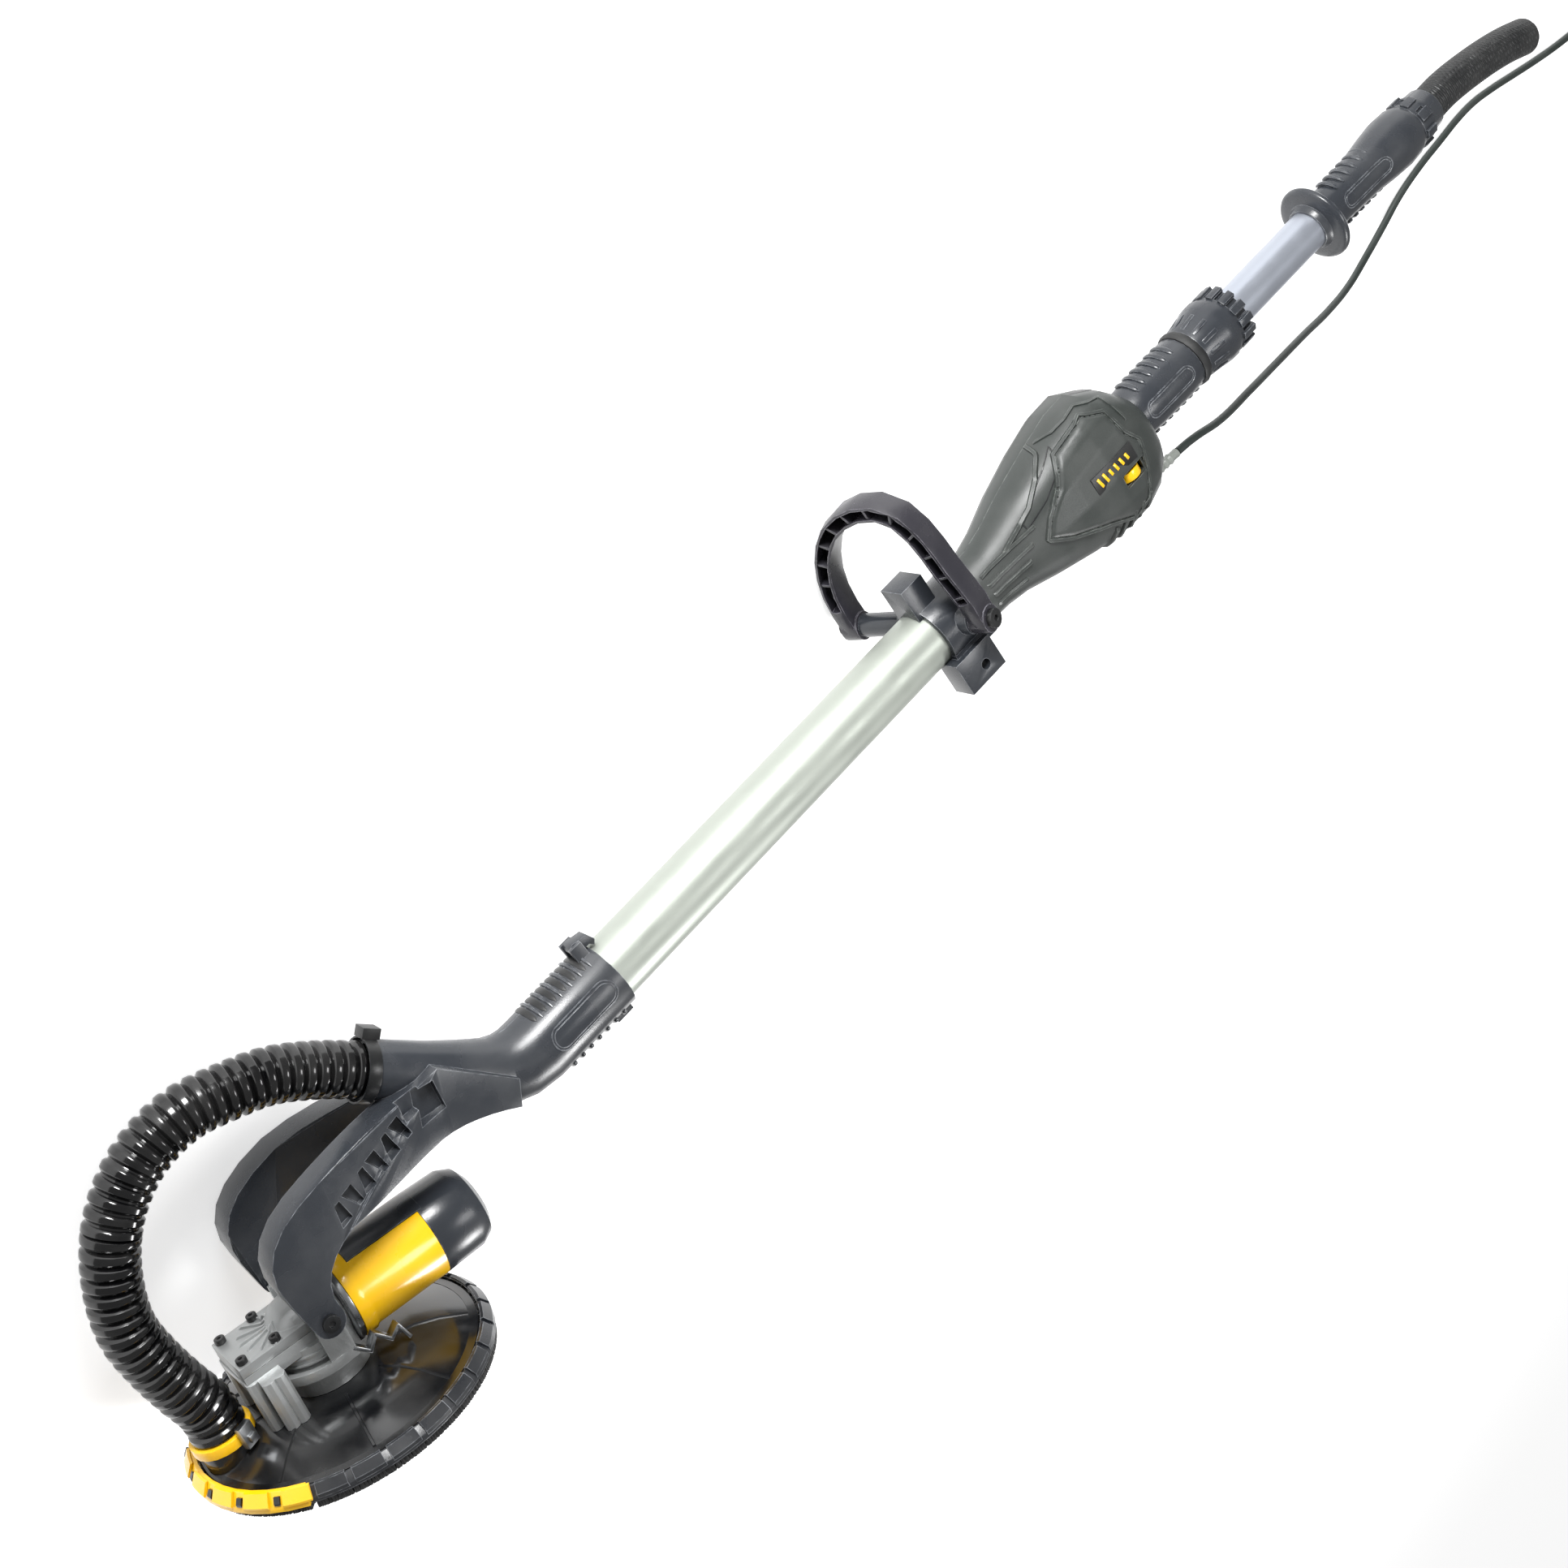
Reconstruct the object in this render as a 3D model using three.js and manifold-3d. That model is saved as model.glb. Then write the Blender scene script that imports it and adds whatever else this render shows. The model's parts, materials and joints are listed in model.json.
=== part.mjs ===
// Pole drywall sander: a floating round sanding head on a fork, a long tube pole with a hinged
// D-handle and a control housing, and a telescopic rear section with a dust hose.
//
// Tool frame, millimetres: x runs along the pole towards the tail, +z is the side of the front
// hose and the D-handle, y crosses the pole, and the origin is the mouth of the neck collar.
// The tool lies on its +y side, so a last group turns it into the stored frame, +Z up.
import * as THREE from 'three';
import { mergeVertices } from 'three/addons/utils/BufferGeometryUtils.js';
import Module from 'manifold-3d';

const wasm = await Module();
wasm.setup();

// ---------------------------------------------------------------- driving dimensions
const GAP = 0.3; // clearance between neighbouring pieces
const POLE = { radius: 25.7, wall: 1.5, front: -60, rear: 455 };
const SLIDE_TUBE = { radius: 17.9, wall: 1.3, front: 330, rear: 945, rise: 6 };
const NECK = { grip: 29.5, duct: 22.5, wall: 3.5, mouth: 0, socket: 62 };
const NECK_BEND = { from: -78, corner: -106, end: [-183, 90] };
const FORK = { rootY: 33, tipY: 55.7, rootX: -160, spreadX: -275, thick: 27, tipThick: 12, pocket: 7 };
const HOSE = { radius: 21, wall: 2 };
const DISC = { x: -346.6, z: -81.6, lean: 12.6, ring: 120, pad: 107 };
const PIVOT = { e: 5.6, n: 83, pin: 4, ear: 39.4 };
const ROLL_AXIS_N = 44;
const GIMBAL = { inner: 37, outer: 42, low: 40, high: 48 };
const MOTOR = { n: 66, radius: 34, wall: 3, front: 30, coverEnd: 104, rear: 150 };
const SEGMENT = { middle: 190, half: 43 };
const OUTLET = { e: -88 };
const SKIRT = { top: 10, bristle: 12, inner: 112 };
const CLAMP = { front: 376, rear: 420, radius: 31 };
const HANDLE = { x: 391, z: 4.6, axis: [-34, 100, 11], near: -46, far: 79, deep: 12, half: 8 };
const HOUSING = { front: 424, rear: 641, wall: 3 };
const GLAND = { x: 612, length: 56, z: -49, radius: 6 };
const COLLAR = { front: 725, rear: 781, teeth: 14 };
const GRIP_REAR = 1041;
const CUFF_REAR = 1072;
const SLEEVE_RADIUS = 16.8;
// The tool lies on the edge of its skirt, the front hose and the far corner of the D-handle.
const FLOOR_GAP = 0.1;
const CORD = { radius: 3.6 };
const CORD_ROUTE = [[281.6, -67, 122.2], [300, -70.5, 122], [347, -92, 115], [405, -116, 100],
  [469, -146, 80], [539, -179, 58], [603, -210, 38], [655, -228, 23], [698, -233, 12], [738, -228, 6],
  [772, -217, 3.9], [808, -209, 3.7], [847, -205, 3.7], [878, -202, 3.7], [905, -203, 3.7],
  [937, -210, 3.7], [975, -221, 3.7], [1020, -234, 3.7], [1065, -245, 3.7], [1105, -251.5, 3.7],
  [1132.5, -253.3, 3.7]];
const COIL = { x: 1160, y: -304, middle: 43.2, rings: 3, layers: 4 };
const PLUG = {
  at: [COIL.x + 50.4, COIL.y - 27.4, 23.4],
  slope: 13.5,
  sleeve: 28,
  length: 34,
  width: 36,
  thick: 18,
  spacing: 18.6,
  pin: { radius: 2.4, length: 19 },
};
const REST = { roll: -111.96, pitch: -1.163 };

// ---------------------------------------------------------------- finishes
const finish = (color, roughness, metalness = 0) => ({ color, roughness, metalness });
const ANODISED = finish(0xb9c0b6, 0.32, 0.9);
const BRIGHT_TUBE = finish(0xc9cede, 0.22, 0.9);
const GREY_PLASTIC = finish(0x4c4d54, 0.45);
const HOUSING_PLASTIC = finish(0x4b4f4b, 0.5);
const HANDLE_PLASTIC = finish(0x4a4752, 0.4);
const BLACK_PLASTIC = finish(0x121314, 0.25);
const YELLOW = finish(0xf2ae26, 0.3);
const CAST = finish(0x8b8a88, 0.5, 0.7);
const STEEL = finish(0x9a9a9c, 0.35, 0.9);
const RUBBER = finish(0x17181a, 0.6);
const BRISTLE = finish(0x101112, 0.9);
const COPPER = finish(0xa8633a, 0.4, 0.8);
const BOARD = finish(0x1f5a36, 0.5);
const ABRASIVE = finish(0x8d5a3c, 0.95);

// ---------------------------------------------------------------- solid helpers
const deg = THREE.MathUtils.degToRad;
const vec = (x, y, z) => new THREE.Vector3(x, y, z);

/** Merges shared corners, drops empty triangles and turns every face outwards. */
function closed(geometry) {
  const bare = geometry.clone();
  bare.deleteAttribute('normal');
  bare.deleteAttribute('uv');
  const merged = mergeVertices(bare, 1e-3);
  const p = merged.attributes.position;
  const all = merged.index.array;
  const kept = [];
  let volume = 0;
  for (let i = 0; i < all.length; i += 3) {
    const [a, b, c] = [all[i], all[i + 1], all[i + 2]];
    if (a === b || b === c || c === a) continue;
    kept.push(a, b, c);
    const [u, v, w] = [a, b, c].map((k) => vec(p.getX(k), p.getY(k), p.getZ(k)));
    volume += u.dot(v.cross(w));
  }
  if (volume < 0) kept.reverse();
  merged.setIndex(kept);
  return merged;
}

function solid(geometry) {
  const g = closed(geometry);
  return new wasm.Manifold(new wasm.Mesh({
    numProp: 3,
    vertProperties: new Float32Array(g.attributes.position.array),
    triVerts: new Uint32Array(g.index.array),
  }));
}

function shaped(manifold) {
  const mesh = manifold.getMesh();
  const geometry = new THREE.BufferGeometry();
  geometry.setAttribute('position', new THREE.BufferAttribute(mesh.vertProperties, 3));
  geometry.setIndex(new THREE.BufferAttribute(mesh.triVerts, 1));
  return geometry;
}

const join = (...parts) => shaped(parts.map(solid).reduce((a, b) => a.add(b)));
const cut = (body, ...tools) => shaped(tools.map(solid).reduce((a, b) => a.subtract(b), solid(body)));
const common = (a, b) => shaped(solid(a).intersect(solid(b)));

/** A box from its low and high limits along each axis. */
function box([x0, x1], [y0, y1], [z0, z1]) {
  const g = new THREE.BoxGeometry(x1 - x0, y1 - y0, z1 - z0);
  return g.translate((x0 + x1) / 2, (y0 + y1) / 2, (z0 + z1) / 2);
}

const rodX = (r, x0, x1, y = 0, z = 0, sides = 18) => new THREE.CylinderGeometry(r, r, x1 - x0, sides)
  .rotateZ(-Math.PI / 2).translate((x0 + x1) / 2, y, z);
const rodY = (r, y0, y1, x = 0, z = 0, sides = 16) => new THREE.CylinderGeometry(r, r, y1 - y0, sides)
  .translate(x, (y0 + y1) / 2, z);
const rodZ = (r, z0, z1, x = 0, y = 0, sides = 16) => new THREE.CylinderGeometry(r, r, z1 - z0, sides)
  .rotateX(Math.PI / 2).translate(x, y, (z0 + z1) / 2);

/** Turns a list of [distance, radius] round the x axis; the list ends where it starts if hollow. */
function turnedX(profile, sides = 20, rise = 0) {
  const points = profile.map(([x, r]) => new THREE.Vector2(r, x));
  return new THREE.LatheGeometry(points, sides).rotateZ(-Math.PI / 2).translate(0, 0, rise);
}

/** Turns a list of [height, radius] round the z axis. */
function turnedZ(profile, sides = 36) {
  const points = profile.map(([z, r]) => new THREE.Vector2(r, z));
  return new THREE.LatheGeometry(points, sides).rotateX(Math.PI / 2);
}

const snapped = (value) => (Math.abs(value) < 1e-9 ? 0 : value);

/** A closed skin over rings: place(ring, a, b) puts the point (a, b) of a unit circle. */
function skinned(rings, sides, place) {
  const g = new THREE.CylinderGeometry(1, 1, 1, sides, rings - 1);
  const p = g.attributes.position;
  for (let i = 0; i < p.count; i += 1) {
    const ring = Math.round((0.5 - p.getY(i)) * (rings - 1));
    const v = place(ring, snapped(p.getX(i)), snapped(p.getZ(i)));
    p.setXYZ(i, v.x, v.y, v.z);
  }
  return g;
}

/** Pushes a unit-circle coordinate outwards so that the circle grows squarer with power. */
const squared = (value, power) => Math.sign(value) * Math.abs(value) ** (2 / power);

/** A flat outline in x and z, extruded from y0 to y1. */
function plateY(shape, y0, y1, curveSegments = 8) {
  const g = new THREE.ExtrudeGeometry(shape, { depth: y1 - y0, bevelEnabled: false, curveSegments });
  return g.rotateX(Math.PI / 2).translate(0, y1, 0);
}

const polygon = (points) => new THREE.Shape(points.map(([a, b]) => new THREE.Vector2(a, b)));

/** A round bar or tube along a curve that stays in one plane of constant y. */
function pipe(curve, steps, sides, radiusAt) {
  return skinned(steps + 1, sides, (ring, a, b) => {
    const u = ring / steps;
    const at = curve.getPointAt(u);
    const t = curve.getTangentAt(u);
    const side = vec(t.z, 0, -t.x).normalize();
    const r = radiusAt(u);
    return at.addScaledVector(side, b * r).add(vec(0, a * r, 0));
  });
}

/** A hollow round hose along a curve. */
function hose(curve, steps, outer, inner, sides = 12) {
  const ring = new THREE.Shape().absarc(0, 0, outer, 0, 2 * Math.PI);
  if (inner > 0) ring.holes.push(new THREE.Path().absarc(0, 0, inner, 0, 2 * Math.PI, true));
  const options = { extrudePath: curve, steps, bevelEnabled: false, curveSegments: sides / 2 };
  return new THREE.ExtrudeGeometry(ring, options);
}

function part(name, geometry, look) {
  const mesh = new THREE.Mesh(closed(geometry), new THREE.MeshStandardMaterial(look));
  mesh.name = name;
  return mesh;
}

const mirrorY = (geometry) => closed(geometry.clone().scale(1, -1, 1));

// ---------------------------------------------------------------- pole and neck
function mainTube() {
  const { radius, wall, front, rear } = POLE;
  const inner = radius - wall;
  const wallOutline = [[front, inner], [front, radius], [rear, radius], [rear, inner], [front, inner]];
  return part('main_tube', turnedX(wallOutline, 28), ANODISED);
}

/** The middle line of the neck: along the pole, round the elbow, then up the duct. */
function neckCurve(overrun = 0) {
  const corner = vec(NECK_BEND.corner, 0, 0);
  const end = vec(NECK_BEND.end[0], 0, NECK_BEND.end[1]);
  const along = end.clone().sub(corner).normalize();
  const bendEnd = corner.clone().addScaledVector(along, NECK_BEND.from - NECK_BEND.corner);
  const curve = new THREE.CurvePath();
  curve.add(new THREE.LineCurve3(vec(overrun, 0, 0), vec(NECK_BEND.from, 0, 0)));
  curve.add(new THREE.QuadraticBezierCurve3(vec(NECK_BEND.from, 0, 0), corner, bendEnd));
  curve.add(new THREE.LineCurve3(bendEnd, end.addScaledVector(along, overrun)));
  return curve;
}

const neckRadius = (u) => THREE.MathUtils.lerp(NECK.grip, NECK.duct, THREE.MathUtils.smoothstep(u, 0.3, 0.85));

/** One fork arm seen from the side: root on the duct, outer bend, and the boss on the pivot. */
function armOutline(pivot) {
  const outline = new THREE.Shape();
  outline.moveTo(-148, 65);
  outline.bezierCurveTo(-182, 64, -215, 80, -262, 81);
  outline.bezierCurveTo(-312, 81, -334, 66, -334, 30);
  outline.lineTo(pivot.x - 12, pivot.z);
  outline.absarc(pivot.x, pivot.z, 12, Math.PI, 2 * Math.PI, false);
  outline.bezierCurveTo(pivot.x + 12, 22, -292, 34, -268, 37);
  outline.bezierCurveTo(-240, 33, -205, 27, -178, 22);
  outline.bezierCurveTo(-160, 18, -140, 8, -120, -8);
  outline.lineTo(-108, 10);
  outline.closePath();
  return outline;
}

/** How far the arm's outer face stands from the middle plane. */
function armSpread(x) {
  const { smoothstep, lerp } = THREE.MathUtils;
  return lerp(FORK.tipY, FORK.rootY, smoothstep(x, FORK.spreadX, FORK.rootX));
}

/** Spreads the arm sideways from its root and thins it towards the pivot. */
function spreadArm(geometry) {
  const p = geometry.attributes.position;
  const { smoothstep, lerp } = THREE.MathUtils;
  for (let i = 0; i < p.count; i += 1) {
    const [x, depth, z] = [p.getX(i), p.getY(i), p.getZ(i)];
    const out = armSpread(x);
    const thick = lerp(FORK.tipThick, FORK.thick, smoothstep(z, 14, 52));
    p.setY(i, -out + depth * thick);
  }
  return geometry;
}

/** The window at the root and the pockets with slanted webs between them, in the arm's outer face. */
function trussPockets() {
  const deep = (x) => -armSpread(x) + FORK.pocket;
  const window = polygon([[-172, 66], [-156, 62], [-161, 38], [-184, 43]]);
  const pockets = [plateY(window, -60, deep(-165))];
  for (let k = 0; k < 6; k += 1) {
    const x = -192 - 14 * k;
    const z = 57 - 1.2 * k;
    const [wide, narrow] = k % 2 === 0 ? [10.5, 5] : [5, 10.5];
    const outline = polygon([[x, z + 8], [x - wide, z + 8], [x - narrow, z - 9], [x, z - 9]]);
    pockets.push(plateY(outline, -60, deep(x)));
  }
  return pockets;
}

function pivotPlace() {
  const lean = deg(DISC.lean);
  const x = DISC.x + PIVOT.e * Math.cos(lean) + PIVOT.n * Math.sin(lean);
  const z = DISC.z - PIVOT.e * Math.sin(lean) + PIVOT.n * Math.cos(lean);
  return { x, z };
}

/** One half of the neck: grip, elbow and duct, with its fork arm moulded on. */
function neckShell() {
  const pivot = pivotPlace();
  const outer = pipe(neckCurve(), 14, 20, neckRadius);
  const bore = pipe(neckCurve(2), 12, 16, (u) => neckRadius(u) - NECK.wall);
  const socket = rodX(POLE.radius + GAP, -NECK.socket, 4, 0, 0, 24);
  const arm = spreadArm(plateY(armOutline(pivot), 0, 1, 6));
  const lug = box([-18, -2], [-4, 4], [-36, -26]);
  const ear = box([-14, -3], [-9.5, -6.3], [26, 40]);
  const window = plateY(polygon([[-166, 72], [-186, 70], [-190, 56], [-170, 55]]), -60, -29);
  const pinHole = rodY(PIVOT.pin + GAP, -70, -20, pivot.x, pivot.z);
  const whole = join(outer, arm, lug, ear);
  const hollow = cut(whole, bore, socket, window, pinHole, ...trussPockets());
  return common(hollow, box([-400, 40], [-90, -GAP / 2], [-90, 160]));
}

function neckLatch() {
  const lever = polygon([[-8, 41], [5, 38.5], [8, 31], [5, 27.4], [2, 31], [-8, 31]]);
  return part('neck_latch', join(plateY(lever, -6, 6), rodY(5, -6, 6, -8, 36)), GREY_PLASTIC);
}

/** A worm-drive band round the joint between duct and hose, with its screw block on top. */
function hoseClamp() {
  const inner = NECK.duct + 0.4;
  const band = turnedX([[-5, inner], [-5, inner + 1.6], [5, inner + 1.6], [5, inner], [-5, inner]], 28);
  const block = box([-7, 7], [-7, 7], [inner + 0.8, inner + 9]);
  const place = new THREE.Matrix4();
  const [x, z] = NECK_BEND.end;
  const slope = Math.atan2(z, NECK_BEND.corner - x);
  place.makeRotationY(slope).setPosition(x, 0, z);
  return part('hose_clamp', join(band, block).applyMatrix4(place), BLACK_PLASTIC);
}

// ---------------------------------------------------------------- front hose
/** The arc of the front hose from the duct, over the fork and down to the dust outlet. */
function hoseArc() {
  const route = [[-183.8, 90.9], [-206, 115.5], [-233, 139], [-260, 153], [-292, 165], [-322, 166], [-349, 159],
    [-377, 142], [-401, 115], [-418.5, 80], [-422.5, 48],
    [-422.3, 16], [-421, -8], [-424.6, -26.6]];
  return new THREE.CatmullRomCurve3(route.map(([x, z]) => vec(x, 0, z)));
}

/** A stretch of a curve between two shares of its length. */
class Stretch extends THREE.Curve {
  constructor(whole, from, to) {
    super();
    Object.assign(this, { whole, from, to });
  }

  getPoint(t, target = new THREE.Vector3()) {
    return this.whole.getPointAt(THREE.MathUtils.lerp(this.from, this.to, t), target);
  }
}

function frontHose(name, from, to) {
  const stretch = new Stretch(hoseArc(), from, to);
  return part(name, hose(stretch, 12, HOSE.radius, HOSE.radius - HOSE.wall), RUBBER);
}

// ---------------------------------------------------------------- clamp and D-handle
/** The place of the handle's hinge line: its own y axis runs through both feet. */
function handleMatrix() {
  const y = vec(...HANDLE.axis).normalize();
  const x = vec(y.y, -y.x, 0).normalize();
  const z = new THREE.Vector3().crossVectors(x, y);
  return new THREE.Matrix4().makeBasis(x, y, z).setPosition(HANDLE.x, 0, HANDLE.z);
}

function clampBody() {
  const { front, rear, radius } = CLAMP;
  const ring = rodX(radius, front, rear, 0, 0, 28);
  const lug = box([front - 4, 396], [-14, 14], [22, 52]);
  const foot = box([front, rear], [-26, 30], [-27, -12]);
  const near = rodY(12, HANDLE.near + HANDLE.half + 1, 0).applyMatrix4(handleMatrix());
  const far = rodY(10, 0, HANDLE.far - HANDLE.half - 0.4).applyMatrix4(handleMatrix());
  const bore = rodX(POLE.radius + GAP, front - 20, rear + 20, 0, 0, 24);
  const holes = rodY(4.3, HANDLE.near - 30, HANDLE.far + 30).applyMatrix4(handleMatrix());
  return cut(join(ring, lug, foot, near, far), bore, holes);
}

function clampParts() {
  const whole = clampBody();
  const split = -16;
  const upper = common(whole, box([300, 500], [-90, 120], [split, 90]));
  const lug = box([CLAMP.front - 8, 408], [-32, -8], [-50, -20]);
  const eye = rodY(4.5, -60, 60, 392, -38);
  const bore = rodX(POLE.radius + GAP, 340, 440, 0, 0, 24);
  const lower = common(join(whole, lug), box([300, 500], [-90, 90], [-90, split - GAP]));
  return [
    part('handle_clamp', upper, GREY_PLASTIC),
    part('handle_clamp_cap', cut(lower, eye, bore), GREY_PLASTIC),
  ];
}

/** The middle line of the D-handle in its own plane: straight near leg, bar, curved far leg. */
function handleCurve() {
  const line = [[HANDLE.near, 0], [HANDLE.near, 14], [-38, 50], [-29, 92], [-14, 114], [14, 118], [45, 104],
    [67, 77], [79, 46], [81, 20], [HANDLE.far, 0]];
  return new THREE.CatmullRomCurve3(line.map(([y, z]) => vec(0, y, z)));
}

function handleBar(half, deep, from, to, power) {
  const curve = handleCurve();
  const steps = 16;
  return skinned(steps + 1, 8, (ring, a, b) => {
    const u = THREE.MathUtils.lerp(from, to, ring / steps);
    const t = curve.getTangentAt(u);
    const side = vec(0, -t.z, t.y);
    const at = curve.getPointAt(u);
    return at.addScaledVector(side, squared(a, power) * half).add(vec(squared(b, power) * deep, 0, 0));
  });
}

function dHandle() {
  const { near, far, half, deep } = HANDLE;
  const bar = handleBar(half, deep, 0, 1, 5);
  const channel = handleBar(half - 3, deep, 0.08, 0.92, 6).translate(-5, 0, 0);
  const nearFoot = rodY(11.5, near - half, near + half);
  const farFoot = rodY(12, far - half, far + half);
  const hole = rodY(4.4, near - 30, far + 30);
  const seats = [rodY(9, near - 30, near - half), rodY(9, far + half, far + 30)];
  const loop = cut(join(bar, nearFoot, farFoot), channel, hole, ...seats);
  return part('d_handle', loop, HANDLE_PLASTIC);
}

function handleBolt(name, at, outwards) {
  const head = rodY(8, 0, 4.5, 0, 0, 16);
  const shank = rodY(4, -21, 1, 0, 0, 12);
  const socket = rodY(3, 2, 6, 0, 0, 6);
  const bolt = cut(join(head, shank), socket).scale(1, outwards, 1);
  return part(name, bolt.translate(0, at + outwards * (HANDLE.half + GAP), 0), STEEL);
}

// ---------------------------------------------------------------- control housing
const HOUSING_STATIONS = [
  { x: 424, wide: 29, up: 29, down: 29, power: 2 },
  { x: 446, wide: 29.5, up: 30, down: 29.5, power: 2.1 },
  { x: 468, wide: 32, up: 35, down: 32, power: 2.3 },
  { x: 500, wide: 37.5, up: 46, down: 41, power: 2.6 },
  { x: 540, wide: 43, up: 57, down: 51, power: 2.8 },
  { x: 575, wide: 44.5, up: 65, down: 57, power: 3 },
  { x: 600, wide: 43.5, up: 66, down: 57, power: 3 },
  { x: 622, wide: 39, up: 54, down: 52, power: 2.8 },
  { x: 636, wide: 33, up: 38, down: 44, power: 2.5 },
  { x: 641, wide: 29, up: 31, down: 38, power: 2.4 },
];

function housingBody(inset, stations) {
  return skinned(stations.length, 20, (ring, a, b) => {
    const s = stations[ring];
    const high = squared(b, s.power) * ((b > 0 ? s.up : s.down) - inset);
    return vec(s.x, squared(a, s.power) * (s.wide - inset), high);
  });
}

/** The rocker's own frame: on the sloping rear shoulder of the housing. */
const switchMatrix = () => new THREE.Matrix4().makeRotationY(deg(28)).setPosition(612, 0, 56);

function housingHalf(sideSign) {
  const outer = housingBody(0, HOUSING_STATIONS);
  const inner = housingBody(HOUSING.wall, HOUSING_STATIONS.slice(0, -1));
  const front = rodX(POLE.radius + GAP, 410, 460, 0, 0, 24);
  const back = rodX(SLIDE_TUBE.radius + 0.5, 600, 660, 0, SLIDE_TUBE.rise, 28);
  const glandHole = rodX(GLAND.radius + GAP, 590, 700, 0, GLAND.z);
  const rocker = box([-12.5, 12.5], [-7, 7], [-20, 20]).applyMatrix4(switchMatrix());
  const dialSlot = box([580, 606], [-60, -21], [-14, -3]);
  const hollow = cut(outer, inner, front, back, glandHole, rocker, dialSlot);
  const half = sideSign < 0 ? [-60, -GAP / 2] : [GAP / 2, 60];
  return common(hollow, box([400, 660], half, [-80, 90]));
}

function housingParts() {
  const label = box([553, 603], [-46.4, -45.1], [1, 17]);
  const board = box([546, 600], [-22.4, -20.8], [-30, 20]);
  const switchBody = box([-10, 10], [-6.5, 6.5], [-24, -12]).applyMatrix4(switchMatrix());
  return [
    part('housing_near', housingHalf(-1), HOUSING_PLASTIC),
    part('housing_far', housingHalf(1), HOUSING_PLASTIC),
    part('label_plate', label, BLACK_PLASTIC),
    part('speed_board', board, BOARD),
    part('switch_body', switchBody, BLACK_PLASTIC),
  ];
}

function powerSwitch() {
  const rocker = join(box([-11, 11], [-6, 6], [-6, 2.5]), rodY(3, -6, 6, 0, -6));
  return part('power_switch', rocker.applyMatrix4(switchMatrix()), BLACK_PLASTIC);
}

/** A thumbwheel on edge in the near side of the housing. */
function speedDial() {
  const wheel = rodZ(11.5, -12.5, -4.5, 593, -34.5, 24);
  return part('speed_dial', wheel, YELLOW);
}

/** The ribbed sleeve that the power cord leaves through. */
function cordGland() {
  const { length, radius } = GLAND;
  const profile = [[0, 0], [0, radius - GAP], [20, radius - GAP]];
  for (let x = 22; x < length - 4; x += 6) profile.push([x, radius - 0.8], [x + 3, radius - 2]);
  profile.push([length, 4.2], [length, 0]);
  return turnedX(profile, 14).rotateY(deg(4)).translate(GLAND.x, 0, GLAND.z + 1.5);
}

// ---------------------------------------------------------------- middle grip and twist lock
function midGrip() {
  const bore = SLIDE_TUBE.radius + 0.4;
  const front = HOUSING.rear + GAP;
  const profile = [[front, bore], [front, 23.5], [660, 25], [700, 25.5], [716, 25], [716, 21],
    [748, 21], [748, bore], [front, bore]];
  return part('mid_grip', turnedX(profile, 20, SLIDE_TUBE.rise), GREY_PLASTIC);
}

function gripRing() {
  const profile = [[716.3, 21.3], [716.3, 26], [720.5, 27.2], [724.7, 26], [724.7, 21.3], [716.3, 21.3]];
  return part('grip_ring', turnedX(profile, 20, SLIDE_TUBE.rise), RUBBER);
}

function collet() {
  const inner = SLIDE_TUBE.radius + 0.3;
  const profile = [[748.3, inner], [748.3, 21], [768, 21], [774, 20], [774, inner], [748.3, inner]];
  const sleeve = turnedX(profile, 20, SLIDE_TUBE.rise);
  const slit = box([760, 780], [-0.8, 0.8], [SLIDE_TUBE.rise, 40]);
  return part('collet', cut(sleeve, slit), BLACK_PLASTIC);
}

/** The screw collar that squeezes the collet, with a crown of square teeth at its tail end. */
function twistCollar() {
  const { front, rear, teeth } = COLLAR;
  const profile = [[front, 21.4], [front, 25.5], [736, 26.5], [751, 29.8], [759, 30.2], [765, 27.8],
    [rear, 27.8], [rear, 18.5], [776, 18.5], [776, 21.4], [front, 21.4]];
  const notches = [];
  for (let k = 0; k < teeth; k += 1) {
    notches.push(box([768, 783], [-2, 2], [24.5, 32]).rotateX((2 * Math.PI * k) / teeth));
  }
  const lift = notches.map((g) => g.translate(0, 0, SLIDE_TUBE.rise));
  return part('twist_collar', cut(turnedX(profile, 20, SLIDE_TUBE.rise), ...lift), GREY_PLASTIC);
}

// ---------------------------------------------------------------- telescopic rear section
function rearTube() {
  const { radius, wall, front, rear, rise } = SLIDE_TUBE;
  const inner = radius - wall;
  const profile = [[front, inner], [front, radius], [rear, radius], [rear, inner], [front, inner]];
  return part('rear_tube', turnedX(profile, 20, rise), BRIGHT_TUBE);
}

function handGuard() {
  const bore = SLIDE_TUBE.radius + GAP;
  const profile = [[896, bore], [896, 19.9], [901, 21.5], [903.5, 33], [906, 35.3], [909.5, 34.6],
    [911, 31], [908, 22], [911, 20.5], [911, bore], [896, bore]];
  return part('hand_guard', turnedX(profile, 28, SLIDE_TUBE.rise), GREY_PLASTIC);
}

function rearGrip() {
  const bore = SLIDE_TUBE.radius + GAP;
  const end = SLIDE_TUBE.rear + GAP;
  const profile = [[911.3, bore], [911.3, 20], [930, 19.6], [975, 21.5], [1000, 24.5], [1018, 26],
    [1034, 25], [GRIP_REAR, 23], [GRIP_REAR, 15.5], [end, 15.5], [end, bore], [911.3, bore]];
  return part('rear_grip', turnedX(profile, 20, SLIDE_TUBE.rise), GREY_PLASTIC);
}

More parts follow.
